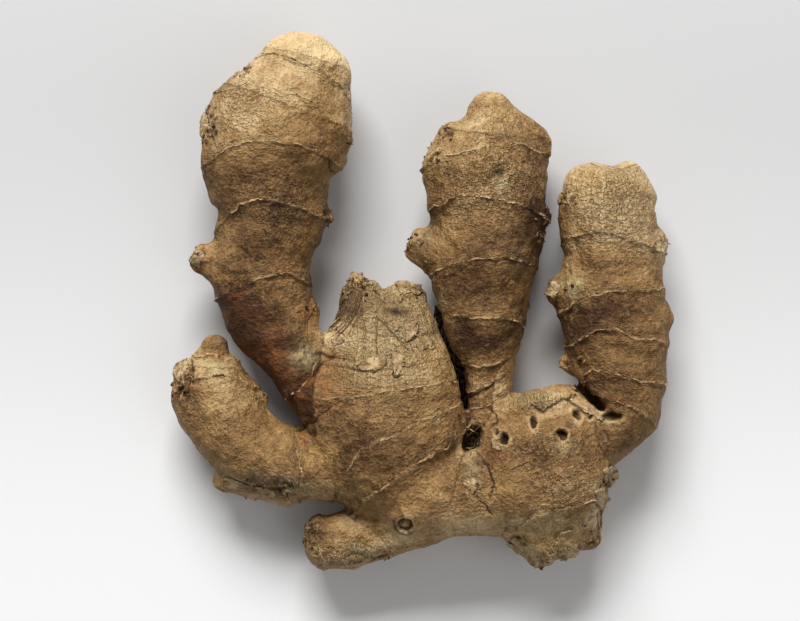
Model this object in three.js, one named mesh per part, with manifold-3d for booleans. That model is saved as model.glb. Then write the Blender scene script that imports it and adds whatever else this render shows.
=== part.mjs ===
// A fresh ginger rhizome, the "hand" of ginger that a greengrocer sells, lying flat on a surface.
//
// It grew as one piece, so it is one solid: an old central segment, a broader and older segment to its
// right, and five fingers. Every limb is a chain of oval sections. The limbs run together with a fillet
// like the flesh of the root, buds and broken shoots stand on them, node rings are raised round them,
// and rootlets have left small craters. The whole is one smooth field of distances, which is turned into
// one closed mesh and thinned where the skin is plain.
//
// Millimetres. +X to the right, +Y towards the tips of the three upright fingers, +Z up. The root lies on
// z = 0 on small flats under its lowest points, and the origin is under the middle of its box.

import * as THREE from "three";
import { ImprovedNoise } from "three/addons/math/ImprovedNoise.js";
import Module from "manifold-3d";

// ---------------------------------------------------------------- driving dimensions

const CELL = 0.95; // step of the grid that the skin is first traced on
const TRIANGLES = 11400; // faces left after thinning
const FOOT_DEPTH = 0.5; // how much of the lowest skin is pressed flat where the root rests
const LUMP_SIZE = 11; // spacing of the soft lumps of the flesh
const LUMP_HEIGHT = 0.55;
const RING_HEIGHT = 0.6; // how far a node ring stands proud
const RING_TIP_SIDE = 2.4; // its gentle flank, towards the tip of the limb
const RING_BASE_SIDE = 1.15; // its steep flank, towards the base

// ---------------------------------------------------------------- limbs
//
// A station is [x, y, z, half width, half depth] of the oval section at that point of the limb's line.
// cap is how far the rounded end reaches past the last station, heel the same at the first one, and
// fillet how widely the limb runs into what was built before it.

const LIMBS = [
  {
    name: "centre",
    fillet: 0,
    heel: 4.5,
    cap: 10,
    stations: [
      [-7.5, -4, 12, 11.8, 8],
      [-8.6, -11, 13, 16, 11],
      [-8.5, -19.5, 14, 18.5, 13.2],
      [-8.8, -29.5, 14, 19.5, 14],
      [-7.2, -39.5, 14, 17.8, 14],
      [-2.4, -48.2, 13.5, 11.6, 11.5],
    ],
    rings: [
      [[-24, -24], [-18, -23.2], [-12.5, -22.2], [-5.5, -21.5], [0.8, -20.2], [5.8, -19.6], [13, -20.6]],
      [[-23, -54], [-21, -49.8], [-17.5, -39], [-10, -33.8], [-5.5, -31.8], [4.5, -27], [13, -24.6]],
      [[-19, -55], [-14.2, -49.5], [-9.8, -45.2], [-5, -41.5], [2, -37.8], [9, -33], [14, -29]],
    ],
  },
  {
    name: "old_segment",
    fillet: 5,
    heel: 6,
    cap: 5.4,
    square: 2.6,
    stations: [
      [32.4, -58, 12, 9.5, 8],
      [31.5, -51, 13, 13.5, 12],
      [30.5, -42, 13.5, 16.5, 13.5],
      [29.5, -33.5, 12.5, 16, 12],
      [28.3, -27.5, 11, 14.2, 8.5],
    ],
    rings: [
      [[14, -62], [20.8, -57], [27, -52.8], [32, -51.5], [38.2, -49.8], [42.5, -48.5], [50, -47.2]],
      [[31, -66], [32.8, -59.5], [34.5, -57], [40, -54.2], [50, -52]],
    ],
  },
  {
    name: "saddle",
    fillet: 5,
    heel: 6,
    cap: 6,
    stations: [
      [-3, -50.5, 13, 9, 11],
      [7, -48, 13.4, 10.9, 12],
      [17, -47.4, 13.4, 11.4, 12.3],
      [26, -46, 13.2, 11.6, 12.2],
    ],
    rings: [[[-3, -53], [2.8, -47], [7.5, -41], [12, -37.5], [16, -34]]],
  },
  {
    name: "finger_left",
    fillet: 3.5,
    heel: 6,
    cap: 9.6,
    stations: [
      [-18.4, -31.2, 13.5, 8.6, 9.5],
      [-27.6, -22.6, 13, 6.5, 9.2],
      [-32.6, -13, 12.6, 8.2, 9.4],
      [-37, -5, 12.6, 10.8, 10.2],
      [-40, 3, 13, 12, 11],
      [-39.6, 13, 13.6, 12.2, 11.6],
      [-37.4, 22.5, 14.2, 13.9, 12.8],
      [-38.6, 32.2, 15, 16, 14.4],
      [-36.5, 41, 15.6, 18.2, 15.6],
      [-32.6, 49.5, 15.4, 16.2, 14],
      [-29.4, 57.4, 14.8, 12, 11],
    ],
    rings: [
      [[-46, 61.5], [-40, 61.2], [-33, 60.2], [-28, 58], [-23, 55.5], [-19.2, 52.5], [-15, 46]],
      [[-58, 50], [-48.5, 52.2], [-43, 53], [-36.8, 51.8], [-30.5, 50.2], [-24.2, 46.8], [-15, 36]],
      [[-60, 31], [-54, 34], [-50, 36.2], [-44.2, 38.2], [-38, 39], [-30.5, 38], [-25, 36], [-17, 31]],
      [[-57, 13], [-49, 20.5], [-44.8, 23.8], [-40, 25], [-30.5, 23.2], [-26, 21.5], [-18, 18.5]],
      [[-56, -2], [-50, 1.2], [-45.5, 3.5], [-41, 5.2], [-36, 7.2], [-31.8, 6.8], [-24, 2.4]],
      [[-42, -27], [-34.8, -24.5], [-30.5, -22], [-27.2, -18], [-24.2, -13.5], [-21, -8]],
    ],
  },
  {
    name: "finger_lower_left",
    fillet: 1.4,
    heel: 5,
    cap: 4.6,
    stations: [
      [-16, -41.2, 13, 9.2, 9.5],
      [-27.5, -41.2, 12.4, 8.7, 9.2],
      [-36.8, -39.4, 12, 9.6, 9.6],
      [-45, -34.8, 12, 9.9, 9.8],
      [-49.4, -28.2, 12.2, 10.4, 9.6],
      [-52.4, -22.6, 12.6, 10.3, 9],
      [-53.2, -17.6, 13, 8.2, 7.4],
    ],
    rings: [
      [[-66, -16.5], [-60, -18.5], [-55.5, -18.8], [-51.8, -18.2], [-46.8, -18.8], [-41, -21.5]],
      [[-30, -26], [-30.5, -32], [-31, -37], [-30, -42], [-31, -56]],
    ],
  },
  {
    name: "finger_short",
    fillet: 0.8,
    heel: 5,
    cap: 5.6,
    square: 2.3,
    stations: [
      [2, -54.6, 12, 6, 6.5],
      [-7.6, -57, 11.5, 6.6, 7],
      [-18, -59.4, 11, 7.3, 7.2],
      [-24, -60, 11, 6.7, 6.4],
    ],
    rings: [[[-25.5, -50], [-26.4, -56], [-25.8, -62], [-24, -70]]],
  },
  {
    name: "finger_middle",
    fillet: 1.6,
    heel: 5,
    cap: 6,
    stations: [
      [17, -31, 11, 6.5, 6],
      [16, -22.5, 11.6, 6.4, 6],
      [15.8, -17, 12.2, 6.9, 6.6],
      [15.2, -12, 12.6, 9, 8],
      [14.8, -4.5, 13, 11, 9.8],
      [14.4, 3, 13.4, 12.6, 10.8],
      [14.8, 10, 13.8, 13.8, 11.8],
      [16.2, 16, 14, 14.2, 12.4],
      [16.8, 22.2, 14, 14.2, 12.4],
      [16, 28, 14, 15.4, 12.6],
      [16, 33.6, 13.8, 15.4, 12.2],
      [17.2, 38.4, 13.4, 14.4, 10.8],
    ],
    rings: [
      [[-2, 31], [2, 34.2], [5, 35], [8.2, 36.2], [14.5, 38], [24.5, 38.2], [36, 36.5]],
      [[-2, 21], [2.2, 22.8], [5.8, 24], [9, 25.8], [14.5, 25.5], [19.5, 24.8], [27, 22.8], [34, 18.5]],
      [[-3, 3], [0.8, 5.5], [3.8, 7.2], [8.2, 9.2], [13.2, 10], [19.5, 10.8], [24.5, 10.2], [32, 7.5]],
      [[1, -0.5], [4.8, -2], [8.2, -3.2], [12, -3.8], [19, -3.8], [22, -4.5], [29, -7.5]],
      [[6, -15.2], [10, -16], [13.2, -16.8], [17.5, -15.5], [21.5, -13.8], [26, -11.5]],
      [[7, -24], [11, -22.5], [14.5, -21.5], [17.5, -20.2], [20, -18.5], [25, -15.5]],
    ],
  },
  {
    name: "finger_right",
    fillet: 1.6,
    heel: 6,
    cap: 6,
    stations: [
      [37, -37, 12.5, 9, 9],
      [44, -33.3, 12.6, 8.8, 9.4],
      [49, -27, 12.6, 10.2, 10.2],
      [50, -19.5, 12.6, 11.2, 10.8],
      [49.2, -12, 12.6, 12.4, 11.6],
      [48.2, -5, 12.4, 13, 12],
      [47.2, 1, 12.4, 13.4, 12.2],
      [47.6, 7.5, 12.4, 12.8, 11.8],
      [47.6, 13.5, 12.6, 12.2, 11.4],
      [46.6, 19.2, 12.8, 12.4, 11.2],
      [46.2, 24.2, 12.8, 12.2, 10.8],
      [47.2, 28.2, 12.6, 11.6, 9.2],
    ],
    rings: [
      [[31, 10], [34.8, 14], [37, 15.5], [39.5, 16.5], [45.8, 17.2], [50.8, 15], [55.8, 13.8], [65, 9.5]],
      [[30, -7], [33.5, -4], [37, -0.5], [39.5, 0.8], [45.8, 2.8], [52.5, 2.8], [65, 3]],
      [[32, -14.5], [36.2, -11.2], [40.2, -8.8], [42.8, -7], [45.8, -7], [52, -9], [57, -9.8], [65, -11.4]],
      [[33, -21], [37.8, -18.8], [42, -17.2], [49.5, -18.5], [54.5, -19.8], [65, -20.8]],
      [[38, -21.5], [42.5, -22.8], [47.5, -24], [50.8, -25.8], [53.8, -28], [62, -34]],
    ],
  },
];

// ---------------------------------------------------------------- buds and broken shoots
//
// Each is a stump from one point to another, [x, y, z, radius] at both ends. A broken one stops square
// at its far point, and the others are round.

const STUMPS = [
  // the two dried shoots on top of the central segment
  { from: [-14.2, -4, 12, 6.6], to: [-15.6, 4.6, 12.5, 4.4], broken: true, fillet: 2.4 },
  { from: [-15.6, 2, 12.5, 4], to: [-16.4, 5.6, 12.5, 1.8], fillet: 1 },
  { from: [-4.4, -5, 12, 7.2], to: [-4.4, 4.7, 11.5, 4.2], broken: true, fillet: 2.4 },
  // left finger: the big side bud, the scar above it, the shoulder, and small nubs on the right
  { from: [-46, 8, 13.5, 6.4], to: [-57, 11.4, 14, 3.2], broken: true, fillet: 2.5 },
  { from: [-47, 41, 15, 6], to: [-51.2, 42.4, 15.6, 3.6], fillet: 2.5 },
  { from: [-40, 52, 15, 6], to: [-43.2, 53.2, 15, 3.7], fillet: 1.6 },
  { from: [-26, 22, 14, 3.4], to: [-23.2, 21, 14, 1.7], fillet: 1.6 },
  { from: [-30, -1.2, 13, 4], to: [-28.2, -2.2, 13, 2.6], fillet: 1.6 },
  // middle finger: the peak, its two shoulders, the left bud, the upper left scar, the right nub
  { from: [17.4, 40, 13.4, 9.6], to: [16.4, 47.6, 13, 4.7], fillet: 3 },
  { from: [17, 46.4, 13, 5.6], to: [27.4, 39.9, 13, 4.9], fillet: 2.4 },
  { from: [11, 39, 13, 5], to: [8.2, 41.4, 13, 2.8], fillet: 2 },
  { from: [7, 33.6, 13.4, 5.4], to: [3.9, 35, 13.6, 2.7], fillet: 1.6 },
  { from: [5, 12, 13.6, 7], to: [-3.2, 15, 14, 3.6], broken: true, fillet: 2.5 },
  { from: [28, 20.5, 13.6, 4.4], to: [30.4, 21.4, 13.6, 2], fillet: 2 },
  { from: [25, -1.4, 13, 2], to: [26.2, -1.2, 13, 1], fillet: 1 },
  // right finger: two horns at the tip, the buds down its left side, the two on its right
  { from: [43, 28, 12.6, 5], to: [42.2, 31.8, 12.6, 3.3], fillet: 2 },
  { from: [52, 26.6, 12.6, 6], to: [51.6, 31.4, 12.6, 4.2], fillet: 2 },
  { from: [38, 25, 12.6, 4], to: [35.4, 25.6, 12.8, 1.9], fillet: 1.4 },
  { from: [38.5, 2.6, 12.6, 5], to: [31.8, 3.2, 13, 3], broken: true, fillet: 2 },
  { from: [57.6, 13.6, 12.6, 4.6], to: [59.2, 14.8, 12.6, 3], fillet: 2 },
  { from: [58.4, -5, 12.4, 4], to: [60.2, -4.4, 12.4, 2.6], fillet: 2 },
  { from: [38.4, -15.6, 12.6, 3], to: [35.8, -15, 12.8, 1.3], fillet: 1.2 },
  // lower left finger: the green bud in its papery collar, crusts on the left, the old scale below
  { from: [-53, -15, 13, 5.4], to: [-52, -11.4, 13.4, 3.6], fillet: 1.2 },
  { from: [-57, -18, 13, 4.6], to: [-58.6, -17, 13, 2.8], fillet: 1.6 },
  { from: [-49, -44.2, 11, 3.6], to: [-34, -47.3, 10.6, 4], fillet: 1 },
  { from: [-41.4, -24.8, 12.6, 2.6], to: [-39.6, -23.6, 12.8, 1.4], fillet: 1.2 },
  // central segment: the web to the old segment, the little bud above it, the nub by the short finger
  { from: [7, -36, 10.5, 7.4], to: [18, -37.5, 10.5, 7.4], fillet: 3 },
  { from: [7, -20.6, 15, 3.6], to: [9.4, -19.8, 16, 1.9], fillet: 1.6 },
  { from: [0, -58.6, 11, 3], to: [0.6, -60.2, 10.6, 1.6], fillet: 1.6 },
  // old segment: the broken lower tip, the crusts down its right edge, the lip over the right finger
  { from: [30, -58, 11.6, 6], to: [29.6, -64.2, 11, 2.8], fillet: 3 },
  { from: [24, -57, 11.6, 4], to: [24.4, -61.2, 10.6, 2.2], fillet: 2 },
  { from: [40, -56, 11.6, 5], to: [42, -59.4, 11, 3], fillet: 2 },
  { from: [42, -43.6, 12, 5], to: [46.2, -44.2, 12, 2.6], fillet: 2 },
  { from: [42, -48, 12, 4.6], to: [44.4, -49.4, 12, 2.4], fillet: 2 },
  { from: [35.8, -23.6, 13.4, 2.4], to: [44.4, -28.4, 17.6, 1.7], fillet: 1.4 },
  // underside: a shoot stump and two resting buds
  { from: [-10, -30, 6, 6], to: [-12.5, -26.5, 1.2, 3.4], fillet: 3 },
  { from: [15.6, 12, 6, 5], to: [12.6, 8.6, 2.4, 2.8], fillet: 2.5 },
  { from: [47, 8, 6, 5], to: [50.4, 4.6, 2, 3], fillet: 2.5 },
];

// ---------------------------------------------------------------- craters
//
// Rootlets have fallen out of pits in the skin. A rim is the height of the callus round the pit, and
// top: false is on the underside.

const CRATERS = [
  { at: [19.6, -33.4], radius: 1.7, depth: 2, rim: 0.5 },
  { at: [27.6, -29.4], radius: 1.2, depth: 1.6, rim: 0.3 },
  { at: [33.8, -33.2], radius: 1.5, depth: 2.2, rim: 0.4 },
  { at: [38.2, -28], radius: 1.4, depth: 1.8, rim: 0.3 },
  { at: [46.4, -29], radius: 2.3, depth: 2.4, rim: 0.3 },
  { at: [12.4, -34.8], radius: 2.3, depth: 3.4, rim: 0 },
  { at: [-4.2, -54.6], radius: 2.1, depth: 0.9, rim: 0.7 },
  { at: [19, 33], radius: 2.6, depth: 0.7, rim: 0 },
  { at: [4, -36], radius: 1.8, depth: 1.1, rim: 0.5, top: false },
  { at: [-2, -21], radius: 1.5, depth: 1, rim: 0.4, top: false },
  { at: [25, -44], radius: 1.9, depth: 1.3, rim: 0.5, top: false },
  { at: [34, -36], radius: 1.5, depth: 1.1, rim: 0.4, top: false },
  { at: [-33, 16], radius: 1.5, depth: 1, rim: 0.4, top: false },
  { at: [-43, -30], radius: 1.4, depth: 0.9, rim: 0.4, top: false },
];

// ---------------------------------------------------------------- clefts
//
// Where two limbs have grown hard against each other, a deep narrow cleft is left between them. It runs
// along a line in plan, from a floor up through the skin, and opens a little on its way up.

const CLEFTS = [
  // between the central segment and the middle finger
  {
    line: [[1, 5.6], [2.4, 1], [5, -7], [6.8, -12], [9.2, -16.5], [10.4, -20.8], [10.8, -24.5], [11.8, -31]],
    floor: 7.5,
    halfWidth: 0.65,
  },
  // between the lip of the old segment and the foot of the right finger
  { line: [[38.2, -19.4], [40.4, -22.2], [42.6, -24.2], [44.6, -26.4]], floor: 9, halfWidth: 0.8 },
];

// ---------------------------------------------------------------- the field
//
// Every function here gives a signed distance in millimetres, negative in the flesh.

/** Joins two fields, with a fillet that reaches k to each side. */
function join(a, b, k) {
  const overlap = k > 0 ? Math.max(k - Math.abs(a - b), 0) / k : 0;
  return Math.min(a, b) - overlap * overlap * k * 0.25;
}

/** A limb's stations as a smooth line of finer ones, as plain numbers. */
function drawnOut(stations) {
  const steps = (stations.length - 1) * 3;
  const line = new THREE.CatmullRomCurve3(stations.map(([x, y, z]) => new THREE.Vector3(x, y, z)));
  const section = new THREE.CatmullRomCurve3(stations.map((s) => new THREE.Vector3(s[3], s[4], 0)));
  return Array.from({ length: steps + 1 }, (_, i) => {
    const p = line.getPoint(i / steps);
    const s = section.getPoint(i / steps);
    return [p.x, p.y, p.z, s.x, s.y];
  });
}

/** The distance in plan from a point to a bent line, positive on the left of the line. */
function sideOf(line, x, y) {
  let nearest = Infinity;
  let side = 1;
  for (let i = 0; i + 1 < line.length; i++) {
    const [ax, ay] = line[i];
    const ex = line[i + 1][0] - ax;
    const ey = line[i + 1][1] - ay;
    const t = THREE.MathUtils.clamp(((x - ax) * ex + (y - ay) * ey) / (ex * ex + ey * ey), 0, 1);
    const gap = Math.hypot(x - ax - t * ex, y - ay - t * ey);
    if (gap < nearest) {
      nearest = gap;
      side = ex * (y - ay) - ey * (x - ax) >= 0 ? 1 : -1;
    }
  }
  return nearest * side;
}

/** How far a node ring raises the skin at a point in plan. */
function ringHeight({ line, tipSide }, x, y) {
  const along = sideOf(line, x, y) * tipSide;
  const flank = along > 0 ? RING_TIP_SIDE : RING_BASE_SIDE;
  return RING_HEIGHT * Math.exp(-((along / flank) ** 2));
}

/** A limb: an oval whose size and place follow the nearest point of its line, with round ends. */
class Limb {
  constructor({ stations, heel, cap, fillet, square = 2, rings = [] }) {
    this.line = drawnOut(stations);
    this.heel = heel;
    this.cap = cap;
    this.fillet = fillet;
    this.square = square;
    // rings are drawn from left to right, so a limb that points down or left has its tip on their right
    const [first, last] = [stations[0], stations[stations.length - 1]];
    this.rings = rings.map((line) => {
      const middle = line[Math.floor(line.length / 2)];
      const beyond = [middle[0] + (last[0] - first[0]) * 0.1, middle[1] + (last[1] - first[1]) * 0.1];
      return { line, tipSide: sideOf(line, ...beyond) > 0 ? 1 : -1 };
    });
    const reach = Math.max(...stations.map((s) => Math.max(s[3], s[4]))) + Math.max(heel, cap) + 6;
    this.box = new THREE.Box3()
      .setFromPoints(stations.map(([x, y, z]) => new THREE.Vector3(x, y, z)))
      .expandByScalar(reach);
  }

  distance(point) {
    const outside = this.box.distanceToPoint(point);
    if (outside > 2) return outside + 4;
    const { x, y, z } = point;
    const { line } = this;
    let nearest = Infinity;
    let at = 0;
    let share = 0;
    let beyond = 0;
    for (let i = 0; i + 1 < line.length; i++) {
      const [ax, ay] = line[i];
      const ex = line[i + 1][0] - ax;
      const ey = line[i + 1][1] - ay;
      const run = ((x - ax) * ex + (y - ay) * ey) / (ex * ex + ey * ey);
      const t = THREE.MathUtils.clamp(run, 0, 1);
      const gap = Math.hypot(x - ax - t * ex, y - ay - t * ey);
      if (gap < nearest) {
        nearest = gap;
        at = i;
        share = t;
        beyond = (run - t) * Math.hypot(ex, ey);
      }
    }
    const [a, b] = [line[at], line[at + 1]];
    const mix = (k) => a[k] + (b[k] - a[k]) * share;
    const past = (beyond < 0 && at === 0) || (beyond > 0 && at === line.length - 2) ? Math.abs(beyond) : 0;
    const across = Math.sqrt(Math.max(nearest * nearest - past * past, 0));
    const radii = [mix(3), mix(4), beyond < 0 ? this.heel : this.cap];
    const offsets = [across, Math.abs(z - mix(2)), past];
    const n = this.square;
    let sum = 0;
    let slope = 0;
    for (let k = 0; k < 3; k++) {
      const q = offsets[k] / radii[k];
      sum += q ** n;
      slope += (q ** (n - 1) / radii[k]) ** 2;
    }
    const level = sum ** (1 / n);
    const steepness = level ** (1 - n) * Math.sqrt(slope);
    const smooth = level < 0.2 ? -radii[1] * (1 - level) : (level - 1) / steepness;
    if (smooth > 2 || smooth < -3) return smooth;
    return smooth - Math.max(0, ...this.rings.map((ring) => ringHeight(ring, x, y)));
  }
}

/** A bud or a broken shoot: a cone with round ends, or square at its far point if it is broken. */
class Stump {
  constructor({ from, to, broken = false, fillet }) {
    this.base = new THREE.Vector3(...from);
    this.axis = new THREE.Vector3(...to).sub(this.base);
    this.length = this.axis.length();
    this.axis.normalize();
    this.radii = [from[3], to[3]];
    this.broken = broken;
    this.fillet = fillet;
    this.offset = new THREE.Vector3();
  }

  distance(point) {
    this.offset.subVectors(point, this.base);
    const along = this.offset.dot(this.axis);
    const t = THREE.MathUtils.clamp(along / this.length, 0, 1);
    const away = this.offset.addScaledVector(this.axis, -t * this.length).length();
    const cone = away - THREE.MathUtils.lerp(this.radii[0], this.radii[1], t);
    return this.broken ? -join(-cone, this.length - along, 0.8) : cone;
  }
}

const limbs = LIMBS.map((limb) => new Limb(limb));
const stumps = STUMPS.map((stump) => new Stump(stump));
const noise = new ImprovedNoise();

/** How far a point is outside a cleft. */
function outsideCleft({ line, floor, halfWidth }, { x, y, z }) {
  return Math.max(Math.abs(sideOf(line, x, y)) - halfWidth - 0.03 * (z - floor), floor - z);
}

/** The flesh without its craters. */
function flesh(point) {
  let d = Infinity;
  for (const limb of limbs) d = join(d, limb.distance(point), limb.fillet);
  for (const stump of stumps) d = join(d, stump.distance(point), stump.fillet);
  if (d > 4) return d;
  for (const cleft of CLEFTS) d = -join(-d, outsideCleft(cleft, point), 0.9);
  if (d < -4) return d;
  const { x, y, z } = point;
  const soft = noise.noise(x / LUMP_SIZE, y / LUMP_SIZE, z / LUMP_SIZE + 7.3);
  const small = noise.noise(x / 4.1 + 3.7, y / 4.1, z / 4.1);
  return d - LUMP_HEIGHT * soft - 0.22 * LUMP_HEIGHT * small;
}

/** The height at which a line straight up through a point in plan leaves the skin, on top or below. */
function skinHeight(x, y, top) {
  const step = top ? -0.25 : 0.25;
  const point = new THREE.Vector3(x, y, top ? 40 : -6);
  while (flesh(point) > 0 && point.z > -8 && point.z < 42) point.z += step;
  return point.z;
}

const craters = CRATERS.map(({ at: [x, y], radius, depth, rim, top = true }) => ({
  centre: new THREE.Vector3(x, y, skinHeight(x, y, top)),
  radius,
  depth,
  rim,
}));

/** The whole root: a crater sinks the skin in the middle and raises it in a callus round the pit. */
function root(point) {
  let d = flesh(point);
  if (Math.abs(d) > 5) return d;
  for (const { centre, radius, depth, rim } of craters) {
    const q = point.distanceTo(centre) / radius;
    if (q > 3) continue;
    d += depth * Math.exp(-(q ** 4)) - rim * Math.exp(-(((q - 1.35) / 0.4) ** 2));
  }
  return d;
}

// ---------------------------------------------------------------- tracing the skin
//
// The box round the root is cut in cubes and each cube in six tetrahedra. The skin crosses a tetrahedron
// as one or two triangles, and neighbours share their edges, so the result is closed everywhere.

function traced(field, box, cell) {
  const size = box.getSize(new THREE.Vector3());
  const [nx, ny, nz] = [size.x, size.y, size.z].map((s) => Math.ceil(s / cell) + 1);
  const point = new THREE.Vector3();
  const value = new Float64Array(nx * ny * nz);
  const place = (node, target) =>
    target.set(node % nx, Math.floor(node / nx) % ny, Math.floor(node / (nx * ny)))
      .multiplyScalar(cell)
      .add(box.min);
  const block = 4;
  const far = cell * block * 1.2;
  for (let z = 0; z < nz; z += block)
    for (let y = 0; y < ny; y += block)
      for (let x = 0; x < nx; x += block) {
        const coarse = field(point.set(x, y, z).addScalar(block / 2).multiplyScalar(cell).add(box.min));
        for (let k = z; k < Math.min(z + block, nz); k++)
          for (let j = y; j < Math.min(y + block, ny); j++)
            for (let i = x; i < Math.min(x + block, nx); i++) {
              const node = i + nx * (j + ny * k);
              value[node] = Math.abs(coarse) > far ? coarse : field(place(node, point)) || 1e-9;
            }
      }

  const step = [1, nx, nx * ny];
  const orders = [[0, 1, 2], [0, 2, 1], [1, 0, 2], [1, 2, 0], [2, 0, 1], [2, 1, 0]];
  const positions = [];
  const faces = [];
  const crossings = new Map();
  const [a, b] = [new THREE.Vector3(), new THREE.Vector3()];
  const crossing = (inside, outside) => {
    const key = Math.min(inside, outside) * value.length + Math.max(inside, outside);
    if (!crossings.has(key)) {
      const t = value[inside] / (value[inside] - value[outside]);
      place(inside, a).lerp(place(outside, b), THREE.MathUtils.clamp(t, 0.1, 0.9));
      crossings.set(key, positions.length / 3);
      positions.push(a.x, a.y, a.z);
    }
    return crossings.get(key);
  };
  const [p, q, r] = [new THREE.Vector3(), new THREE.Vector3(), new THREE.Vector3()];
  const addFace = (i, j, k, inside, outside) => {
    const corner = (v, target) => target.fromArray(positions, 3 * v);
    const normal = corner(j, q).sub(corner(i, p)).cross(corner(k, r).sub(p));
    const outwards = normal.dot(place(outside, b).sub(place(inside, a))) > 0;
    faces.push(...(outwards ? [i, j, k] : [i, k, j]));
  };
  for (let z = 0; z + 1 < nz; z++)
    for (let y = 0; y + 1 < ny; y++)
      for (let x = 0; x + 1 < nx; x++) {
        const low = x + nx * (y + ny * z);
        for (const [i, j, k] of orders) {
          const corners = [low, low + step[i], low + step[i] + step[j], low + step[i] + step[j] + step[k]];
          const inside = corners.filter((node) => value[node] < 0);
          const outside = corners.filter((node) => value[node] > 0);
          if (inside.length === 1 || outside.length === 1) {
            const cut = inside.length === 1
              ? outside.map((node) => crossing(inside[0], node))
              : inside.map((node) => crossing(node, outside[0]));
            addFace(...cut, inside[0], outside[0]);
          } else if (inside.length === 2) {
            const pairs = [[0, 0], [0, 1], [1, 1], [1, 0]];
            const [s, t, u, v] = pairs.map(([m, n]) => crossing(inside[m], outside[n]));
            addFace(s, t, u, inside[0], outside[1]);
            addFace(s, u, v, inside[1], outside[0]);
          }
        }
      }
  return { positions, faces };
}

// ---------------------------------------------------------------- thinning
//
// Edges are closed up one at a time, the one that moves the surface least first. Each corner carries a
// quadric, the sum of squared distances to the planes of the faces that it has swallowed.

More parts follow.
